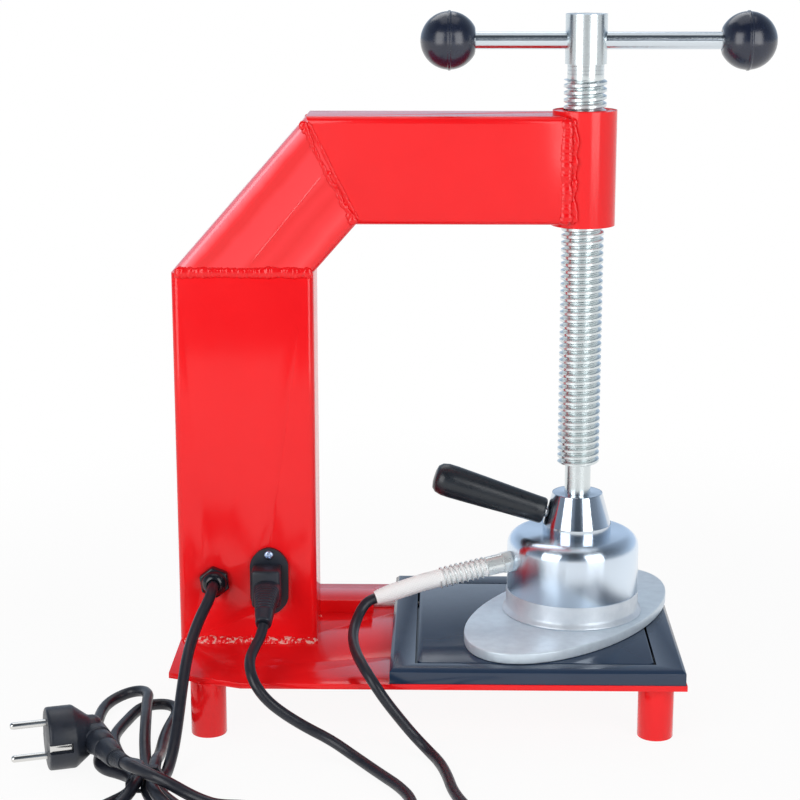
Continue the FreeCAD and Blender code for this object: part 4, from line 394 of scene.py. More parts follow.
def niceName(nodeName):
    words = nodeName.split("_")
    return words[0] + "".join(word.capitalize() for word in words[1:])


# A piece in place of the CAD node of that name, or in place of none.
def makePiece(nodeName, bm, material, body, angle=32, replaces=True):
    mesh = meshOf(bm, niceName(nodeName))
    mesh.polygons.foreach_set("use_smooth", [True] * len(mesh.polygons))
    mesh.set_sharp_from_angle(angle=radians(angle))
    mesh.materials.append(material)
    piece = placed(mesh.name, mesh)
    if body:
        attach(piece, body)
    if replaces:
        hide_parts(nodeName)
    return piece


# A place in mm and the direction that the piece's own Z axis points in.
def stood(place, direction=up, twist=0.0):
    turn = Vector(direction).normalized().to_track_quat("Z", "Y").to_matrix().to_4x4()
    return Matrix.Translation(at(*place)) @ turn @ Matrix.Rotation(radians(twist), 4, "Z")


# Spins a profile of (radius, height) in mm round an axis.
def turned(profile, place=Matrix(), steps=96):
    bm = bmesh.new()
    spots = [bm.verts.new((radius * mm, 0, height * mm)) for radius, height in profile]
    edges = [bm.edges.new(pair) for pair in zip(spots, spots[1:])]
    bmesh.ops.spin(bm, geom=spots + edges, cent=(0, 0, 0), axis=(0, 0, 1), angle=tau, steps=steps, use_merge=True)
    bmesh.ops.remove_doubles(bm, verts=bm.verts, dist=1e-7)
    bmesh.ops.recalc_face_normals(bm, faces=bm.faces)
    bm.transform(place)
    return bm


def easeEdges(bm, width, segments=2, angle=30, wanted=None):
    edges = [
        edge for edge in bm.edges
        if len(edge.link_faces) == 2 and edge.calc_face_angle(0) > radians(angle)
        and (wanted is None or wanted(edge))
    ]
    bmesh.ops.bevel(bm, geom=edges, offset=width * mm, offset_type="OFFSET", segments=segments,
                    affect="EDGES", profile=0.5, material=-1, clamp_overlap=True)
    return bm


# A CAD node's own shape, merged to clean faces.
def copied(*names):
    bm = bmesh.new()
    for name in names:
        bm.from_mesh(nodes[name].data)
    bmesh.ops.remove_doubles(bm, verts=bm.verts, dist=2e-6)
    bmesh.ops.dissolve_limit(bm, angle_limit=radians(0.4), verts=bm.verts, edges=bm.edges)
    return bm


def joined(*parts):
    whole = bmesh.new()
    for part in parts:
        mesh = meshOf(part)
        whole.from_mesh(mesh)
        bpy.data.meshes.remove(mesh)
    return whole


# One closed shape less another.
def cutOut(whole, tool):
    holders = [placed("part", meshOf(part)) for part in (whole, tool)]
    cut = holders[0].modifiers.new("hole", "BOOLEAN")
    cut.object = holders[1]
    cut.solver = "EXACT"
    bm = bmOf(worked(holders[0]))
    for holder in holders:
        bpy.data.objects.remove(holder)
    return bm


# A NURBS line with route points in mm as its control points, and the points along it.
def routeLine(name, route, resolution=10):
    curve = bpy.data.curves.new(name, "CURVE")
    curve.dimensions = "3D"
    curve.resolution_u = resolution
    spline = curve.splines.new("NURBS")
    spline.points.add(len(route) - 1)
    for point, spot in zip(spline.points, route):
        point.co = (*at(*spot), 1)
    spline.order_u = 3
    spline.use_endpoint_u = True
    spline.resolution_u = resolution
    return curve


def pointsOf(curve):
    holder = placed("line", curve)
    mesh = worked(holder)
    points = [vert.co.copy() for vert in mesh.vertices]
    bpy.data.meshes.remove(mesh)
    bpy.data.objects.remove(holder)
    return points


# A direction that no route runs along, to start a sweep's frames from
leaning = Vector((0.12, 0.31, 0.94))


# Sweeps a ring along points; radiusAt gives the ring's two half widths in metres at a share of the way.
def swept(points, radiusAt, sides=20, flatUp=None, corner=1.0):
    bm = bmesh.new()
    sideTag = bm.verts.layers.float.new("side")
    runTag = bm.verts.layers.float.new("run")
    uvLayer = bm.loops.layers.uv.new("UVMap")
    last = len(points) - 1
    tangents = [(points[min(i + 1, last)] - points[max(i - 1, 0)]).normalized() for i in range(last + 1)]
    across = (flatUp or leaning).cross(tangents[0]).normalized()
    lengths = [0.0]
    for first, second in zip(points, points[1:]):
        lengths.append(lengths[-1] + (second - first).length)
    frames = []
    for spot, tangent in zip(points, tangents):
        if flatUp:
            across = flatUp.cross(tangent)
        across = (across - tangent * across.dot(tangent)).normalized()
        frames.append((spot, across, tangent.cross(across)))
    made = bmesh.ops.create_circle(bm, cap_ends=False, radius=1, segments=sides)["verts"]
    unit = []
    for number, vert in enumerate(made):
        vert[sideTag] = number
        x, y = (copysign(abs(part) ** corner, part) for part in vert.co.xy)
        unit.append(Vector((x, y, 0)))

    def lay(verts, step):
        spot, first, second = frames[step]
        wide, high = radiusAt(lengths[step] / lengths[-1], step)
        for vert in verts:
            shape = unit[int(round(vert[sideTag]))]
            vert.co = spot + first * shape.x * wide + second * shape.y * high
            vert[runTag] = lengths[step]

    lay(made, 0)
    loops = list(bm.edges)
    bmesh.ops.contextual_create(bm, geom=loops)
    for step in range(1, len(points)):
        grown = bmesh.ops.extrude_edge_only(bm, edges=loops)["geom"]
        loops = [item for item in grown if isinstance(item, bmesh.types.BMEdge)]
        lay([item for item in grown if isinstance(item, bmesh.types.BMVert)], step)
    bmesh.ops.contextual_create(bm, geom=loops)
    bmesh.ops.recalc_face_normals(bm, faces=bm.faces)
    around = tau * radiusAt(0, 0)[0]
    for face in bm.faces:
        sidesHere = [loop.vert[sideTag] for loop in face.loops]
        wraps = max(sidesHere) - min(sidesHere) > sides / 2
        for loop in face.loops:
            side = loop.vert[sideTag]
            if wraps and side < sides / 2:
                side += sides
            loop[uvLayer].uv = (loop.vert[runTag], around * side / sides)
    return bm


# Cords first. Their route points are in mm: the CAD tubes' own, or near them where the photographed line leaves the
# tube's. The hank starts where the lead reaches its tie.

headCordRoute = [
    (-144.2, -79.83, 76.1), (-145, -86, 71), (-149.1, -96, 65.5), (-151.6, -108, 61.3), (-149.9, -118.5, 55.5),
    (-145.3, -124.5, 47.5), (-137.3, -127.5, 38.5), (-126, -128.5, 29.7), (-111, -130, 20.8), (-94, -134, 13.5),
    (-77, -145, 6), (-60, -167, 3.8), (-46, -188, 3.8), (-37.5, -209, 3.8), (-36.5, -236, 3.8), (-32, -263, 3.8),
    (-14, -278, 3.8), (4, -270, 3.8), (10.5, -246, 3.8), (-4, -216, 3.8), (-11.5, -194, 3.8), (-15, -170, 3.8),
    (-20, -148, 3.8), (-28, -131, 5), (-38, -124, 13), (-48.5, -124.5, 26.5), (-59, -124, 40.5), (-67.8, -119, 52.5),
    (-75.3, -105, 59.3), (-80.2, -86, 62), (-82.3, -66, 64), (-81.2, -53, 67.5), (-78.6, -45, 72.7), (-75, -40.5, 78),
    (-71, -38.3, 80.9), (-66.8, -37, 82.1),
]
mainsRoute = [
    (-183.7, -37, 90.5), (-183.7, -43, 90.5), (-184.7, -52, 86), (-190.2, -64, 76.5), (-194.2, -79, 66.5),
    (-196.3, -98, 57), (-197.2, -116, 44.5), (-197.9, -135, 29), (-199, -153, 14.5), (-201.2, -170, 5.6),
    (-202.7, -179, 5.42),
]
hankRoute = [
    (-203.3, -185, 5.3), (-203.3, -195, 5.3), (-200, -204, 4), (-191, -217, 4), (-180, -232, 4),
    (-175.9, -251, 4), (-182.4, -272.5, 4), (-200.4, -286, 4), (-223, -286, 4), (-241, -272.5, 4),
    (-247.5, -251, 4), (-243.5, -232, 4), (-232, -217, 4), (-223, -204, 4), (-220.8, -195, 5.2),
    (-221.6, -184.5, 5.1), (-226.2, -175.5, 4), (-234.2, -169.7, 4), (-242.8, -165, 4), (-248.6, -157.5, 4),
    (-250.8, -148, 4), (-251.4, -138, 4), (-254, -126, 4), (-258.6, -111, 4),
    (-261.6, -92, 4), (-262.7, -76, 4), (-263, -64, 4), (-261.6, -51, 4.3), (-255.4, -40.6, 6),
    (-245.6, -36.4, 8.8), (-236, -40.6, 11.5), (-230.8, -51, 13), (-229.6, -63, 13.2), (-228.3, -77, 13.2),
    (-225.5, -100, 13.2), (-223.2, -122, 9.5), (-220.8, -138, 6), (-218, -154, 4), (-214.3, -172, 4),
    (-212, -185, 5.3), (-212, -195, 5.3), (-209.5, -204, 4), (-202.5, -218, 4), (-195.5, -233, 4),
    (-194, -247.8, 4), (-200.4, -259.5, 4), (-213, -264.2, 4), (-225.6, -259.5, 4), (-232, -247.8, 4),
    (-230, -232, 4), (-222, -218, 8), (-217.2, -205, 12.4), (-216.4, -195, 12.9), (-216.4, -185, 12.9),
    (-219.5, -174, 12), (-228.5, -158.5, 6.2), (-236, -145.5, 4), (-241.2, -132, 4), (-245.6, -118, 4),
    (-246.6, -105, 4), (-244.6, -91, 4), (-242, -79, 4), (-239.6, -67.5, 4), (-236.2, -56.5, 4),
    (-228.4, -48.4, 4), (-217.8, -47.6, 4), (-210.2, -54.8, 4), (-208.6, -66, 4), (-209.8, -79, 4),
    (-211.2, -94, 4), (-211.6, -112, 4), (-210.8, -132, 4),
    (-209.9, -149, 6.8), (-209.5, -164, 11.4), (-208.3, -177, 12.9), (-207.6, -185, 12.9),
    (-207.6, -195, 12.9), (-206.6, -204, 13.4), (-203, -220, 13.6), (-194, -238, 13.6), (-181, -256, 13.6),
    (-164, -270, 9.5), (-147, -279.4, 4.5), (-131.3, -275.4, 6.4), (-122.8, -261.8, 8.2),
    (-126.1, -245.9, 10.1), (-139.5, -236.9, 12), (-160, -236.5, 12), (-170, -231, 12.5), (-180, -226.5, 15),
    (-192, -224, 21), (-200, -221, 23.6), (-207, -216.5, 24.4), (-214.5, -209.5, 24.6), (-221.1, -205, 25.4),
    (-225, -198.2, 24),
]
cords = {"headLength": 0.616, "headDiameter": 0.0075, "mainsLength": 1.52, "mainsDiameter": 0.008}


def makeMainsCord():
    curve = routeLine("mainsCord", mainsRoute + hankRoute, 8)
    curve.bevel_depth = cords["mainsDiameter"] / 2
    curve.bevel_resolution = 5
    curve.use_fill_caps = True
    curve.materials.append(cordSheath)
    cord = placed("mainsCord", curve)
    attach(cord, "frame")
    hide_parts("mains_cord", "mains_hank")
    return cord


# The head's cord: a round sweep along its route, on no body, with the points along it kept.
def makeHeadCord():
    points = pointsOf(routeLine("headCordLine", headCordRoute, 8))
    radius = cords["headDiameter"] / 2
    bm = swept(points, lambda share, step: (radius, radius))
    cord = makePiece("head_cord", bm, cordSheath, None)
    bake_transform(cord)
    return cord, points


mainsCord = makeMainsCord()
headCord, headCordPoints = makeHeadCord()
print("cords laid")


# Frame of red tube

frameEdges = {"base_plate": 0.5, "base_legs": 0.6, "column_tube": 0.35, "arm_tube": 0.35, "wire_cover": 0.8}


def easedCopy(nodeName, width, material, body, segments=2, angle=30):
    return makePiece(nodeName, easeEdges(copied(nodeName), width, segments, angle), material, body)


for nodeName, width in frameEdges.items():
    easedCopy(nodeName, width, redEnamel, "frame")

# The slanted tube's outer long corners are drawn rounder than its other ones, and a seam runs along its side.
slantedTube = {
    "along": (0.661, 0, 0.750),
    "outward": (-0.750, 0, 0.661),
    "outerFace": 366.5,
    "width": 75.0,
    "outerRound": 8.0,
    "otherRound": 1.0,
    "seam": ((-154.6, -24.9, 322.0), (-100.0, -24.9, 388.6)),
    "seamHalf": 0.7,
    "seamRise": 0.42,
    "seamSteps": 60,
    # its colour lies in long bands along it: a pale pink painted highlight on the rounded outer corner, and lighter
    # streaks of painted reflection across the face; each band's share of the tube's width from that corner, and its
    # colour
    "runs": [(0.0, "#FF8A96"), (0.05, "#FF7F8C"), (0.09, "#FF5A62"), (0.13, "#FF2028"), (0.16, "#F3141A"),
             (0.21, "#F3141A"), (0.27, "#FF3138"), (0.46, "#FF363C"), (0.52, "#F4141A"), (0.59, "#FC2228"),
             (0.68, "#F4141A"), (0.78, "#FF2A30"), (0.86, "#FF4044"), (0.93, "#F81A20"), (1.0, "#F0161C")],
    "paintedBandShift": 2.5,
    "paintedBandWaver": 5,
}


# Red enamel on the slanted tube, banded across its width: a painted highlight along the outer corner and painted
# reflections in lighter lengthwise streaks.
def runEnamel():
    one = slantedTube
    material, tree, shader, place = newMaterial("redEnamelWithPaintedHighlight", {
        "IOR": 1.48, "Specular IOR Level": 0.5, "Coat Weight": 0.3, "Coat Roughness": 0.06})
    drive(tree, shader, "Roughness", mottle(tree, place, 14, 0.13, 0.18))
    across = vectorMaths(tree, "DOT_PRODUCT", place, [-part for part in one["outward"]])["Value"]
    waver = maths(tree, "MULTIPLY_ADD", grains(tree, place, 26, 2.0), one["paintedBandWaver"] * mm, across)
    start = (one["paintedBandShift"] - one["outerFace"]) * mm
    share = spread(tree, waver, start, start + one["width"] * mm)
    drive(tree, shader, "Base Color", ramped(tree, share, one["runs"]))
    relief(tree, shader, place, [(2.2, 0.0025), (38, 0.02)])
    return material


def makeSlantedTube():
    one = slantedTube
    along, outward = Vector(one["along"]), Vector(one["outward"])

    def isLong(edge):
        first, last = (vert.co for vert in edge.verts)
        return abs((last - first).normalized().dot(along)) > 0.98

    def isOuter(edge):
        middle = (edge.verts[0].co + edge.verts[1].co) / 2
        return isLong(edge) and middle.dot(outward) > (one["outerFace"] - 1) * mm

    bm = easeEdges(copied("diagonal_tube"), one["outerRound"], 7, 30, isOuter)
    easeEdges(bm, one["otherRound"], 3, 30, isLong)
    start, end = (at(*spot) for spot in one["seam"])
    seam = [start.lerp(end, i / one["seamSteps"]) for i in range(one["seamSteps"] + 1)]
    half, rise = one["seamHalf"] * mm, one["seamRise"] * mm

    def widths(share, step):
        return half, rise * min(1, share * 12, (1 - share) * 12 + 0.01) + 1e-5

    raised = swept(seam, widths, 8, flatUp=Vector((0, -1, 0)))
    makePiece("diagonal_tube", joined(bm, raised), runEnamel(), "frame")


makeSlantedTube()

nutBoss = {"centre": (78.8, 0, 348), "radius": 22.5, "bore": 15.4, "height": 79}


def makeNutBoss():
    outer, bore, high = nutBoss["radius"], nutBoss["bore"], nutBoss["height"]
    bm = turned([(bore, 0), (outer, 0), (outer, high), (bore, high), (bore, 0)], stood(nutBoss["centre"]), 128)
    easeEdges(bm, 0.7, 3)
    makePiece("nut_boss", bm, redEnamel, "frame")


makeNutBoss()
print("frame made")


# Weld beads: a lumpy run of metal, laid half into the corner that it fills, with drops where the arc stopped.

weldRuns = [
    # start, end, half width, height, what faces out, wander, drops at shares of the way with their sizes
    ((-207, -26.2, 44.8), (-109.5, -26.2, 44.8), 3.7, 2.9, (0, -0.7, 0.7), 0.2,
     [(0.33, 3.6), (0.47, 3.4), (0.71, 3.3)]),
    ((-207, 26.2, 44.8), (-109.5, 26.2, 44.8), 3.7, 2.9, (0, 0.7, 0.7), 0.2, []),
    ((-206.5, -25.0, 316.4), (-111.5, -25.0, 316.4), 3.9, 1.9, (0, -1, 0), 0.1,
     [(0.03, 4.3), (0.11, 4.1), (0.6, 3.6), (0.97, 4.0)]),
    ((-206.5, 25.0, 316.4), (-111.5, 25.0, 316.4), 3.9, 1.9, (0, 1, 0), 0.1, [(0.05, 4.2), (0.95, 4.0)]),
]
mitre = {
    "top": (-114.6, 420.5),
    "bottom": (-80.4, 352.8),
    "side": 25.0,
    "across": (0.88, 0, 0.44),
    # how far off the joint, half width, height, wander, drops
    "runs": [(2.2, 1.35, 1.0, 0.5, []),
             (-1.7, 1.7, 1.3, 1.5, [(0.015, 3.4), (0.06, 3.0), (0.5, 2.3), (0.62, 2.0), (0.84, 2.4), (0.93, 3.0),
                                    (0.98, 3.4)])],
}
bead = {
    "step": 0.7,
    "ripple": 0.035,
    "ripplePitch": 2.1,
    "lump": 0.36,
    "smallLump": 0.16,
    # how much more the height swells than the width
    "rippleRise": 1.6,
    "lumpRise": 1.3,
    # steps over which an end swells to its full size, and the share that it starts with
    "endSteps": 5,
    "endShare": 0.25,
    "rough": 0.28,
    "roughSize": 1.5,
    "dropRough": 0.22,
    "dropRoughSize": 2.5,
    "dropFlat": 0.5,
}


def weldDrop(place, size, out, seed):
    bm = bmesh.new()
    bmesh.ops.create_icosphere(bm, subdivisions=3, radius=size * mm)
    for vert in bm.verts:
        vert.co *= 1 + bead["dropRough"] * noise.noise(vert.co / (bead["dropRoughSize"] * mm) + Vector((seed, 0, 0)))
        vert.co -= out * vert.co.dot(out) * bead["dropFlat"]
    bm.transform(Matrix.Translation(place))
    return bm


def makeBead(start, end, half, rise, out, wander, drops, seed):
    first, last, out = at(*start), at(*end), Vector(out).normalized()
    count = max(12, int((last - first).length / (bead["step"] * mm)))
    side = out.cross((last - first).normalized())

    # a slow noise along the run, each with its own pace and place
    def drift(step, pace, row, place):
        return noise.noise(Vector((step * pace, row, place)))

    points = []
    for i in range(count + 1):
        aside = drift(i, 0.055, seed * 3.1, 0) + 0.4 * drift(i, 0.2, seed, 7)
        points.append(first.lerp(last, i / count) + side * aside * half * wander * mm)

    def sizeAt(share, step):
        turns = step * bead["step"] / bead["ripplePitch"]
        ripple = bead["ripple"] * sin(turns * tau + 3 * drift(step, 0.06, seed, 2))
        lump = bead["lump"] * drift(step, 0.09, seed * 7.7, 5) + bead["smallLump"] * drift(step, 0.3, seed, 9)
        toEnd = min(share, 1 - share) * count / bead["endSteps"]
        size = min(1, toEnd + bead["endShare"]) * mm
        swell = 1 + bead["rippleRise"] * ripple + bead["lumpRise"] * lump
        return half * (1 + ripple + lump) * size, rise * swell * size

    bm = swept(points, sizeAt, 14, flatUp=out)
    for vert in bm.verts:
        vert.co += out * noise.noise(vert.co / (bead["roughSize"] * mm)) * bead["rough"] * mm
    return [bm] + [weldDrop(first.lerp(last, share), size, out, seed + share * 9) for share, size in drops]


# Across the mitre: a slim straight run, a wandering one beside it and drops where the two meet.
def mitreRuns():
    across = Vector(mitre["across"])
    runs = []
    for side in (-1, 1):
        top, bottom = (Vector((x, side * mitre["side"], z)) for x, z in (mitre["top"], mitre["bottom"]))
        for away, half, rise, wander, drops in mitre["runs"]:
            runs.append((top + across * away, bottom + across * away, half, rise, (0, side, 0), wander, drops))
    return runs


# Up the boss: a wide bead against the arm and a slimmer one on the boss, both with many stops.
bossBeads = [
    # x and y of the run, half width, height, what faces out, wander, drops
    (65.2, 24.3, 4.3, 1.9, -0.1, 0.3, [(0.06, 3.2), (0.15, 2.9), (0.27, 3.4), (0.4, 3.0), (0.52, 3.3), (0.66, 2.9),
                                       (0.8, 3.3), (0.93, 3.1)]),
    (69.6, 22.4, 3.2, 1.5, -0.3, 0.7, [(0.1, 2.6), (0.33, 2.8), (0.47, 2.5), (0.74, 2.7), (0.87, 2.6)]),
]
bossLevels = (350.5, 424.0)


def bossRuns():
    return [((x, side * y, bossLevels[0]), (x, side * y, bossLevels[1]), half, rise, (lean, side, 0), wander, drops)
            for side in (-1, 1) for x, y, half, rise, lean, wander, drops in bossBeads]


def makeWelds():
    parts = []
    for seed, run in enumerate(weldRuns + mitreRuns() + bossRuns(), 1):
        parts += makeBead(*run, seed)
    makePiece("weld_beads", joined(*parts), weldEnamel, "frame", 60)


makeWelds()
print("welds laid")


# Press screw: a rolled thread between a neck with its head and a plain journal

pressScrew = {
    "axis": (78.8, 0),
    "threadFoot": 174.0,
    "threadTop": 449.0,
    "footCut": 0.6,
    "topCut": 0.4,
    "pitch": 5.0,
    "steps": 40,
    "thread": [(12.25, 0), (12.25, 0.45), (14.7, 1.6), (15.0, 1.9), (15.0, 3.55), (14.7, 3.85), (12.25, 5.0)],
    "journal": [(0, 125.4), (9.3, 125.4), (9.3, 128.0), (7.7, 128.0), (7.7, 130.1), (9.3, 130.1), (9.3, 173.4),
                (12.2, 175.6), (12.2, 176.0), (0, 176.0)],
    "neck": [(0, 447.0), (12.2, 447.0), (12.75, 449.2), (12.75, 452.3), (12.5, 452.6), (12.75, 452.9), (12.75, 455.0),
             (12.5, 455.3), (12.75, 455.6), (12.75, 457.7), (12.5, 458.0), (12.75, 458.3), (12.75, 459.6),
             (14.5, 459.6), (14.5, 493.2), (0, 493.2)],
    # the bar's hole: radius, and how far its drill reaches to each side
    "hole": (6.15, 20),
}


# One turn of the thread is spun and copied up the screw, which is then cut square at both ends.
def makePressScrew():
    one = pressScrew
    foot, top, pitch = one["threadFoot"], one["threadTop"], one["pitch"]
    single = bmesh.new()
    spots = [single.verts.new((radius * mm, 0, height * mm)) for radius, height in one["thread"]]
    edges = [single.edges.new(pair) for pair in zip(spots, spots[1:])]
    bmesh.ops.spin(single, geom=spots + edges, cent=(0, 0, 0), axis=(0, 0, 1), angle=tau, steps=one["steps"],
                   dvec=(0, 0, pitch * mm / one["steps"]), use_merge=False)
    turn = meshOf(single, "turn")
    bm = bmesh.new()
    for _ in range(int((top - foot) / pitch) + 2):
        bm.from_mesh(turn)
        turn.transform(Matrix.Translation((0, 0, pitch * mm)))
    bpy.data.meshes.remove(turn)
    bmesh.ops.remove_doubles(bm, verts=bm.verts, dist=5e-6)
    bm.transform(Matrix.Translation(at(*one["axis"], foot - pitch)))

    def onCut(edge, level):
        return edge.is_boundary and all(abs(vert.co.z - level * mm) < 1e-5 for vert in edge.verts)

    for level, side in ((foot + one["footCut"], -1), (top - one["topCut"], 1)):
        everything = [*bm.verts, *bm.edges, *bm.faces]
        bmesh.ops.bisect_plane(bm, geom=everything, dist=1e-7, plane_co=at(0, 0, level), plane_no=(0, 0, side),
                               clear_outer=True)
        bmesh.ops.triangle_fill(bm, use_beauty=True, edges=[edge for edge in bm.edges if onCut(edge, level)])
    bmesh.ops.recalc_face_normals(bm, faces=bm.faces)
    place = stood((*one["axis"], 0))
    journal = easeEdges(turned(one["journal"], place), 0.25, 2)
    neck = easeEdges(turned(one["neck"], place), 0.8, 3)
    radius, reach = one["hole"]
    drill = turned([(0, -reach), (radius, -reach), (radius, reach), (0, reach)],
                   stood((*one["axis"], barLevel), (1, 0, 0)), 48)
    makePiece("press_screw", joined(bm, journal, cutOut(neck, drill)), zincScrew, "screw")


makePressScrew()
print("press screw cut")


# Tommy bar and its two ball knobs, each with a ridge where the halves of its mould met

tommyBar = {"left": -13.8, "right": 188.2, "radius": 6.0}
ballKnob = {
    "faces": ((2.2, -1), (172.2, 1)),
    "radius": 20.0,
    "flat": 18.0,
    "hole": 6.05,
    # the mouth of the hole, from the hole's own edge out
    "mouth": [(0, 1.2), (0, 0.3), (0.4, 0)],
    "faceRound": 0.7,
    "steps": 40,
    # the ridge: how far from the middle, and how high
    "ridge": [(-1.5, 0), (-1.15, 0.06), (-0.9, 0.36), (-0.6, 0.6), (0.6, 0.6), (0.9, 0.36), (1.15, 0.06), (1.5, 0)],
    "ridgeClear": 1.9,
}


def makeTommyBar():
    one = tommyBar
    length = one["right"] - one["left"]
    profile = [(0, 0), (one["radius"], 0), (one["radius"], length), (0, length)]
    bm = easeEdges(turned(profile, stood((one["left"], 0, barLevel), (1, 0, 0)), 64), 0.4)
    makePiece("tommy_bar", bm, zincBar, "bar")


def makeKnobs():
    one = ballKnob
    radius, middle, hole, clear = one["radius"], one["flat"], one["hole"], one["ridgeClear"]
    face = acos(middle / radius)
    profile = [(hole + out, height) for out, height in one["mouth"]] + [(radius * sin(face) - one["faceRound"], 0)]
    start = face + 0.05
    for i in range(one["steps"] + 1):
        angle = start + (pi - start) * i / one["steps"]
        profile.append((radius * sin(angle), middle - radius * cos(angle)))
    ridge = [(sqrt(radius ** 2 - away ** 2) + rise, middle + away) for away, rise in one["ridge"]]
    profile = [spot for spot in profile if spot[1] < middle - clear] + ridge + \
              [spot for spot in profile if spot[1] > middle + clear]
    profile[-1] = (0, profile[-1][1])
    parts = [turned(profile, stood((spot, 0, barLevel), (side, 0, 0))) for spot, side in one["faces"]]
    makePiece("bar_knobs", joined(*parts), blackPhenolic, "bar", 40)


makeTommyBar()
makeKnobs()
print("bar and knobs turned")


# Heating head, all of it on the body "head" but the sleeve, which is on no body

turnedHead = {
    "head_collar": [(9.4, 122), (24.8, 122), (24.8, 128.5), (24.4, 129.1), (18.1, 151.2), (17.4, 151.7), (9.4, 151.7),
                    (9.4, 122)],
    "heater_body": [(0, 62.8), (50.4, 62.8), (51.0, 63.4), (50.4, 64.8), (48.9, 66.0), (48.3, 68.0), (48.3, 77.4),
                    (48.0, 79.0), (45.4, 79.0), (45.4, 83.8), (0, 83.8)],
}
headCap = {
    "radius": 47.8,
    "foot": 79.0,
    "top": 122.0,
    "shoulder": 10.0,
    "wall": 2.0,
    "hole": 9.6,
    "crownRadius": 22.0,
    "crownRise": 0.15,
    "steps": 12,
}


def makeCollar():
    bm = easeEdges(turned(turnedHead["head_collar"], stood(screwAxis), 128), 0.35, 2)
    makePiece("head_collar", bm, chromeCollar, "head")


def makeCap():
    one = headCap
    radius, foot, shoulder, wall, hole = one["radius"], one["foot"], one["shoulder"], one["wall"], one["hole"]
    top = one["top"]
    profile = [(radius - wall, foot), (radius - 0.4, foot), (radius, foot + 0.5)]
    for i in range(one["steps"] + 1):
        angle = pi / 2 * i / one["steps"]
        profile.append((radius - shoulder + shoulder * cos(angle), top - shoulder + shoulder * sin(angle)))
    crown = top + one["crownRise"]
    profile += [(one["crownRadius"], crown), (hole, crown), (hole, top - wall), (radius - shoulder, top - wall),
                (radius - wall, top - shoulder), profile[0]]
    makePiece("head_cap", turned(profile, stood(headAxis), 160), chromeHead, "head", 50)


def makeHeater():
    bm = turned(turnedHead["heater_body"], stood(headAxis), 160)
    makePiece("heater_body", bm, castAluminium, "head", 50)
    shoe = easeEdges(copied("heating_shoe"), 1.2, 4, 40)
    makePiece("heating_shoe", shoe, shoeAluminium, "head", 40)


# The handle: a swelling black grip on a short stud
sideHandle = {
    "tilt": 18.0,
    "meets": (78.8, 0, 129.255),
    "profile": [(4.05, 25.0), (8.2, 25.0), (9.2, 25.6), (9.7, 27.0), (9.8, 33.0), (10.4, 52.0), (11.3, 74.0),
                (12.0, 95.0), (11.9, 101.0), (10.8, 105.5), (8.4, 108.2), (5.0, 109.0), (0, 109.0)],
}


def makeHandle():
    one = sideHandle
    tilt = radians(one["tilt"])
    bm = turned(one["profile"], stood(one["meets"], (-cos(tilt), 0, sin(tilt))), 64)
    makePiece("handle_grip", bm, satinPhenolic, "head", 60)
    easedCopy("handle_stud", 0.3, zincPlate, "head")


# Cable gland, its sleeve of woven glass and the spring round it
glandWay = Vector((-0.9535640, -0.2519425, -0.1650476))
sleeve = {
    "route": [(14.2, -16.4, 99.9), (12.82, -16.75, 99.63), (-28.66, -27.70, 92.45), (-37.5, -30.6, 90.6),
              (-66.8, -37.0, 82.1)],
    "radius": 6.3,
    "springRadius": 7.15,
    "springWire": 0.6,
    "springLength": 37.0,
    "springTurns": 9,
    "ripple": 0.12,
    # its far end draws in from this share of its length on, by this share of its size
    "endDrawn": (0.86, 0.2),
}


def makeSleeve():
    one = sleeve
    points = pointsOf(routeLine("sleeveLine", one["route"], 14))

    def widths(share, step):
        ripple = one["ripple"] * sin(step * 1.9) * noise.noise(Vector((step * 0.31, 4, 1)))
        drawnFrom, drawnBy = one["endDrawn"]
        end = 1 - drawnBy * max(0, (share - drawnFrom) / (1 - drawnFrom)) ** 1.5
        size = (one["radius"] + ripple) * end * mm
        return size, size

    bm = swept(points, widths, 28)
    piece = makePiece("head_sleeve", bm, braid, None, 80)
    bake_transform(piece)


def makeSpring():
    one = sleeve
    turns, radius, wire = one["springTurns"], one["springRadius"], one["springWire"] * mm
    place = stood(one["route"][1], glandWay)
    points = []
    count = turns * 24
    for i in range(count + 1):
        angle = tau * turns * i / count
        spot = Vector((radius * cos(angle), radius * sin(angle), 1 + (one["springLength"] - 2) * i / count))
        points.append(place @ (spot * mm))
    bm = swept(points, lambda share, step: (wire, wire), 10)
    makePiece("sleeve_spring", bm, satinNickel, "head", 60)


makeCollar()
makeCap()
makeHeater()
makeHandle()
makeSleeve()
makeSpring()
easedCopy("head_cable_gland", 0.4, satinNickel, "head")
print("heating head made")


# Inlet, the connector in it and its ribbed boot, and the mains gland

inlet = {"middle": (-144.2, 0, 91.0), "flange": (-28.0, -25.0), "tipRound": 5.2, "sideRound": 4.0}
inletScrew = {
    "spacing": 40.0,
    "radius": 3.3,
    "rise": 1.5,
    "shank": (1.5, 11),
    "slot": (4.4, 0.8, 1.0),
    "twist": 22.0,
}
connector = {
    "aside": -1.0,
    "halfWidth": 10.3,
    "halfHeight": 14.0,
    "front": -47.0,
    "back": -28.3,
    "rimRound": 2.6,
    "nose": (8.2, 12.2, -13.6),
    "boot": [(-144.2, -43.0, 89.0), (-144.2, -52.0, 88.2), (-144.2, -61.0, 85.6), (-144.2, -70.0, 81.6),
             (-144.2, -79.3, 76.6)],
    "bootWide": (10.0, 5.5),
    "bootHigh": (9.8, 5.9),
    "ribs": 9,
    "ribDepth": 0.45,
    "ribsFrom": 0.2,
    "ribsTo": 0.74,
    "endRound": (0.95, 0.55),
}


def roundedBlock(low, high, width, segments=3):
    bm = bmesh.new()
    bmesh.ops.create_cube(bm, size=1)
    bmesh.ops.scale(bm, verts=bm.verts, vec=[(b - a) * mm for a, b in zip(low, high)])
    bmesh.ops.translate(bm, verts=bm.verts, vec=at(*[(a + b) / 2 for a, b in zip(low, high)]))
    return easeEdges(bm, width, segments)


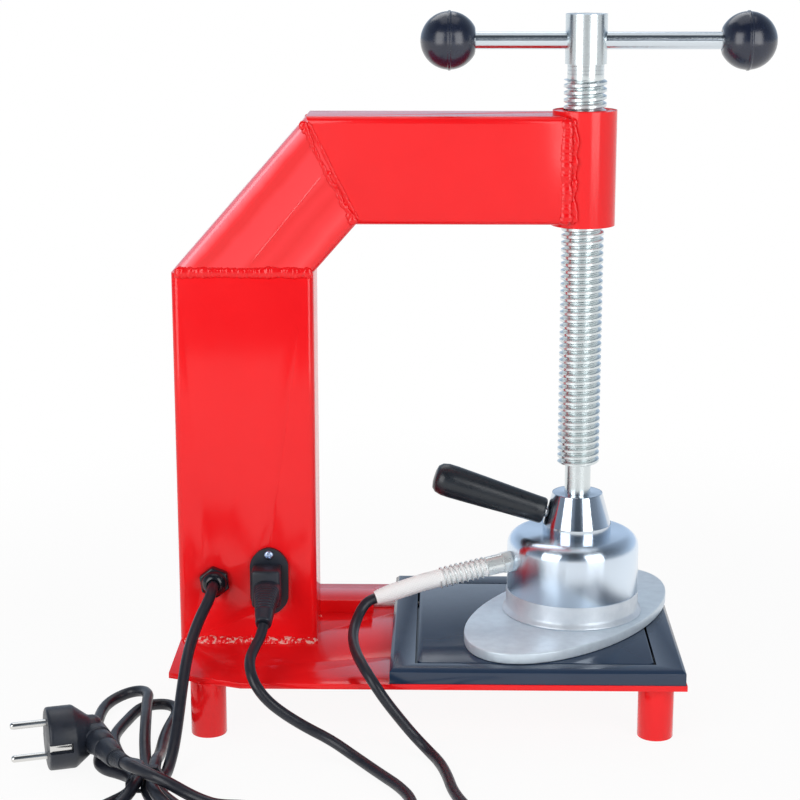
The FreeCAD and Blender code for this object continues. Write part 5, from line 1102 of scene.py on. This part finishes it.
def makeInlet():
    one = inlet
    x, _, z = one["middle"]
    front, back = one["flange"]

    def corner(edge, tip):
        first, last = (vert.co / mm for vert in edge.verts)
        runs = abs((last - first).normalized().y) > 0.99
        outside = min(first.y, last.y) < front + 0.1 and max(first.y, last.y) < back + 0.1
        away = abs(first.z - z)
        return runs and outside and abs(first.x - x) > 5 and (away > 20 if tip else 10 < away < 20)

    bm = easeEdges(copied("inlet_socket"), one["tipRound"], 6, 20, lambda edge: corner(edge, True))
    easeEdges(bm, one["sideRound"], 5, 20, lambda edge: corner(edge, False) and abs(edge.verts[0].co.x / mm - x) > 13)
    makePiece("inlet_socket", bm, blackNylon, "frame")


# Pan head screws with a cross recess
def crossScrew(place):
    one = inletScrew
    radius, rise = one["radius"], one["rise"]
    shankRadius, shankLength = one["shank"]
    length, width, depth = one["slot"]
    profile = [(0, -shankLength), (shankRadius, -shankLength), (shankRadius, 0), (radius - 0.3, 0), (radius, 0.3),
               (radius * 0.9, rise * 0.75), (radius * 0.6, rise), (0, rise)]
    head = turned(profile, stood(place, (0, -1, 0), one["twist"]), 40)
    for turn in (0, 90):
        tool = roundedBlock((-length / 2, -width / 2, rise - depth), (length / 2, width / 2, rise + 1), 0.05, 1)
        tool.transform(stood(place, (0, -1, 0), one["twist"] + turn))
        head = cutOut(head, tool)
    return head


def makeInletScrews():
    x, _, z = inlet["middle"]
    parts = [crossScrew((x, inlet["flange"][0], z + side * inletScrew["spacing"] / 2)) for side in (-1, 1)]
    makePiece("inlet_screws", joined(*parts), blueZinc, "frame", 50)


def makeConnector():
    one = connector
    x, _, z = inlet["middle"]
    wide, high = one["halfWidth"], one["halfHeight"]
    middle = x + one["aside"]
    block = roundedBlock((middle - wide, one["front"], z - high), (middle + wide, one["back"], z + high),
                         one["rimRound"], 4)
    noseWide, noseHigh, noseEnd = one["nose"]
    nose = roundedBlock((x - noseWide, one["back"] - 3, z - noseHigh), (x + noseWide, noseEnd, z + noseHigh), 0.8)
    points = pointsOf(routeLine("bootLine", one["boot"], 24))

    def widths(share, step):
        ribs = 0.0
        if one["ribsFrom"] < share < one["ribsTo"]:
            within = (share - one["ribsFrom"]) / (one["ribsTo"] - one["ribsFrom"])
            ribs = one["ribDepth"] * (0.5 - 0.5 * cos(within * one["ribs"] * tau))
        roundFrom, roundBy = one["endRound"]
        end = roundBy * max(0, (share - roundFrom) / (1 - roundFrom)) ** 2
        across = [first + (last - first) * share - ribs - end for first, last in (one["bootWide"], one["bootHigh"])]
        return across[0] * mm, across[1] * mm

    boot = swept(points, widths, 40, flatUp=up, corner=0.72)
    makePiece("connector", joined(block, nose, boot), blackNylon, "frame", 42)


mainsGland = {
    "middle": (-183.7, -25.0, 90.5),
    "across": 20.4,
    "nutHeight": 6.4,
    "nutTaper": 0.985,
    "nutTurn": 8,
    "dome": [(0, -9.6), (7.8, -9.6), (7.8, 0.2), (9.2, 0.2), (9.4, 5.6), (9.1, 7.4), (8.3, 9.2), (7.0, 10.8),
             (5.9, 11.7), (5.0, 12.0), (4.3, 11.6), (4.1, 10.6), (0, 10.6)],
}


def makeMainsGland():
    one = mainsGland
    bm = bmesh.new()
    radius, high = one["across"] / sqrt(3) * mm, one["nutHeight"] * mm
    bmesh.ops.create_cone(bm, cap_ends=True, segments=6, radius1=radius, radius2=radius * one["nutTaper"], depth=high)
    bmesh.ops.translate(bm, verts=bm.verts, vec=(0, 0, high / 2))
    easeEdges(bm, 1.2, 4)
    bm.transform(stood(one["middle"], (0, -1, 0), one["nutTurn"]))
    dome = turned(one["dome"], stood(one["middle"], (0, -1, 0)), 64)
    makePiece("mains_gland", joined(bm, dome), glossNylon, "frame", 40)


# The angled plug lies on the floor: its own Z axis runs from its face to its rear.

plug = {
    "face": (-284.4, -154.0, 21.25),
    "angle": 18.0,
    "radius": 21.25,
    "body": [(0, 0), (19.6, 0), (20.7, 0.5), (21.2, 1.5), (21.25, 3.0), (21.25, 17.0), (21.0, 18.1), (20.3, 19.2),
             (14.6, 26.6), (13.6, 27.8), (13.1, 29.2), (13.0, 32.0), (12.4, 34.0), (11.0, 35.9), (8.6, 37.2),
             (5.0, 37.9), (0, 38.0)],
    # half width, depth and length of the groove on each side
    "groove": (3.3, 3.2, 15.4),
    "neckFoot": 30.0,
    "neckTurn": 78.0,
    "neck": [(0, 0), (11.0, 0), (10.2, 12.6), (10.1, 13.6), (9.2, 14.2), (9.0, 15.4), (9.4, 16.2), (8.4, 27.0),
             (7.7, 28.0), (7.9, 29.2), (7.0, 44.4), (6.6, 45.6), (5.7, 46.0), (0, 46.0)],
    "reliefRise": 10.0,
    "reliefLength": 16.0,
    "reliefRadii": (5.75, 4.85),
    # its rings: how many, where the first starts and their pitch, and one ring's outline from there
    "reliefRings": (5, 3.0, 2.5),
    "reliefRing": [(0, 0), (-0.4, 0.25), (-0.4, 0.8), (-0.05, 1.05)],
    "pinSpacing": 23.5,
    "pin": [(0, 9), (2.4, 9), (2.4, -21.8), (2.15, -22.9), (1.5, -23.7), (0.6, -24), (0, -24)],
}


def plugPlace():
    turn = radians(plug["angle"])
    rows = ((0, -sin(turn), cos(turn)), (0, cos(turn), sin(turn)), (-1, 0, 0))
    return Matrix.Translation(at(*plug["face"])) @ Matrix(rows).to_4x4()


def plugNeckWay(rise):
    turn, lift = radians(plug["neckTurn"]), radians(rise)
    return Vector((-sin(lift), -sin(turn) * cos(lift), cos(turn) * cos(lift)))


def makePlug():
    one = plug
    place = plugPlace()
    body = turned(one["body"], place)
    half, depth, length = one["groove"]
    for side in (-1, 1):
        low, high = sorted((side * (one["radius"] - depth), side * 24))
        tool = roundedBlock((-half, low, -1), (half, high, length), 0.1, 1)
        tool.transform(place)
        body = cutOut(body, tool)
    neck = turned(one["neck"], place @ stood((0, 0, one["neckFoot"]), plugNeckWay(0)), 64)
    end = Vector((0, 0, one["neckFoot"])) + plugNeckWay(0) * one["neck"][-1][1]
    (wide, slim), long = one["reliefRadii"], one["reliefLength"]
    ribs = [(0, -2), (wide, -2)]
    rings, start, pitch = one["reliefRings"]
    for ring in range(rings):
        z = start + ring * pitch
        radius = wide + (slim - wide) * z / long
        ribs += [(radius + out, z + along) for out, along in one["reliefRing"]]
    ribs += [(slim, long - 0.4), (slim - 0.4, long), (0, long)]
    tail = turned(ribs, place @ stood(end, plugNeckWay(one["reliefRise"])), 48)
    makePiece("plug_body", joined(body, neck, tail), blackNylon, "frame", 42)
    pins = [turned(one["pin"], place @ stood((side * one["pinSpacing"] / 2, 0, 0)), 32) for side in (-1, 1)]
    makePiece("plug_pins", joined(*pins), nickelPlate, "frame", 50)


makeInlet()
makeInletScrews()
makeConnector()
makeMainsGland()
makePlug()
print("plug, inlet and connector made")


# Every other CAD node: a material of its own, and softened edges where it shows

shownNodes = {
    "lower_heating_plate": (0.35, slateEnamel, "frame", "slate_paint"),
    "platform_screws": (0.4, zincPlate, "frame", "zinc_steel"),
    "control_panel": (0.3, panelSteel, "frame", "panel_grey"),
    "panel_screws": (0.3, zincPlate, "frame", "zinc_steel"),
    "plug_earth_clips": (0.15, nickelPlate, "frame", "nickel"),
    "hank_tie": (0.2, blackNylon, "frame", "cord_black"),
    "switch_housings": (0.5, blackNylon, "frame", "black_plastic"),
    "left_rocker": (0.4, redRocker, "left_switch", "red_rocker"),
    "right_rocker": (0.4, redRocker, "right_switch", "red_rocker"),
    "timer_knob": (0.5, blackPhenolic, "timer_dial", "black_knob"),
    "thermostat_knob": (0.5, blackPhenolic, "thermostat_dial", "black_knob"),
    "lamp_lenses": (0.2, redLens, "frame", "red_lens"),
    "thrust_washer": (0.2, turnedBrass, "thrust", "brass"),
    "retaining_ring": (0.15, zincPlate, "screw", "zinc_steel"),
    "head_studs": (0.3, zincPlate, "head", "zinc_steel"),
    "shoe_screws": (0.3, zincPlate, "head", "zinc_steel"),
}
for nodeName, (width, material, body, slotName) in shownNodes.items():
    easedCopy(nodeName, width, material, body)


# The platform's rim, with a dark slate lip along the floor of the groove round the plate: a dark sheet laid where the
# groove's shade falls, as painted shade
grooveShadeLip = {"plate": ((-36.1, -94.3), (127.7, 77.5)), "gap": 1.5, "under": 0.6, "level": (44.0, 45.2)}


def makePlatformRim():
    one = grooveShadeLip
    (left, near), (right, far) = one["plate"]
    low, high = one["level"]
    wide = one["gap"] + one["under"]
    clear = 0.1
    strips = [
        (left - wide, near - wide, right + wide, near - clear), (left - wide, far + clear, right + wide, far + wide),
        (left - wide, near - wide, left - clear, far + wide), (right + clear, near - wide, right + wide, far + wide),
    ]
    # each strip lies a hundredth higher than the last, so that none share a face
    shadeLips = [roundedBlock((x, y, low + i * 0.01), (endX, endY, high + i * 0.01), 0.05, 1)
            for i, (x, y, endX, endY) in enumerate(strips)]
    rim = easeEdges(copied("platform_frame"), 0.5)
    makePiece("platform_frame", joined(rim, *shadeLips), slateEnamel, "frame")


makePlatformRim()


# Marks printed on the panel and on the knobs: numbers, ticks and pointers, as seen from behind
dials = [
    {"name": "timer", "middle": (-160.2, 172.0), "step": 50.0, "numbers": (0, 5, 10, 15, 20, 25, 30), "between": 4},
    {"name": "thermostat", "middle": (-160.2, 228.0), "step": 67.5, "numbers": (0, 50, 100, 150, 200), "between": 4},
]
inkMarks = {
    "face": 26.5,
    "thickness": 0.12,
    "bolder": 0.05,
    # from and to, and half the width
    "tick": (18.2, 20.4, 0.35),
    "shortTick": (18.2, 19.4, 0.22),
    "pointer": (5.0, 14.6, 0.7),
    "pointerFace": 42.5,
    "numberRadius": 22.9,
    "numberSize": 3.5,
}


def behindPlace(x, y, z, twist=0.0):
    facing = Matrix(((-1, 0, 0), (0, 0, 1), (0, 1, 0))).to_4x4()
    return Matrix.Translation(at(x, y, z)) @ facing @ Matrix.Rotation(radians(-twist), 4, "Z")


def inkBar(low, high, half, place, rise):
    bm = roundedBlock((-half, low, -rise), (half, high, rise), 0.03, 1)
    bm.transform(place)
    return bm


def inkText(text, size, place, rise):
    letters = bpy.data.curves.new("letters", "FONT")
    letters.body = text
    letters.size = size * mm
    letters.align_x, letters.align_y = "CENTER", "CENTER"
    letters.extrude = rise * mm
    letters.offset = inkMarks["bolder"] * mm
    holder = placed("letters", letters)
    bm = bmOf(worked(holder))
    bmesh.ops.remove_doubles(bm, verts=bm.verts, dist=1e-7)
    bm.transform(place)
    bpy.data.objects.remove(holder)
    return bm


def makeMarks():
    one = inkMarks
    rise, far = one["thickness"], one["numberRadius"]
    parts = []
    for dial in dials:
        x, z = dial["middle"]
        parted = dial["between"] + 1
        for count, number in enumerate(dial["numbers"]):
            angle = count * dial["step"]
            parts.append(inkBar(*one["tick"], behindPlace(x, one["face"], z, angle), rise))
            spot = radians(angle)
            place = behindPlace(x - sin(spot) * far, one["face"], z + cos(spot) * far)
            parts.append(inkText(str(number), one["numberSize"], place, rise))
        for count in range((len(dial["numbers"]) - 1) * parted):
            if count % parted:
                place = behindPlace(x, one["face"], z, count * dial["step"] / parted)
                parts.append(inkBar(*one["shortTick"], place, rise))
        line = inkBar(*one["pointer"], behindPlace(x, one["pointerFace"], z), rise)
        makePiece(dial["name"] + "_pointer", line, whiteInk, dial["name"] + "_dial", replaces=False)
    makePiece("panel_marks", joined(*parts), blackInk, "frame", replaces=False)


makeMarks()
print("marks printed")

hiddenNodes = {
    "lower_heater": heaterSheath, "lower_insulation": mineralBoard, "head_heater": heaterSheath,
    "head_insulation": mineralBoard, "timer_housing": blackNylon, "thermostat_housing": blackNylon,
    "lamp_bodies": blackNylon, "terminal_block": blackNylon, "inner_wires": wireSheath,
    "platform_lead": whiteSleeving, "mains_gland_nut": blackNylon, "inlet_pins": nickelPlate,
    "inlet_nuts": zincPlate, "connector_contacts": nickelPlate,
}
for nodeName, material in hiddenNodes.items():
    node = nodes[nodeName]
    node.data.materials.clear()
    node.data.materials.append(material)
print("other nodes dressed")
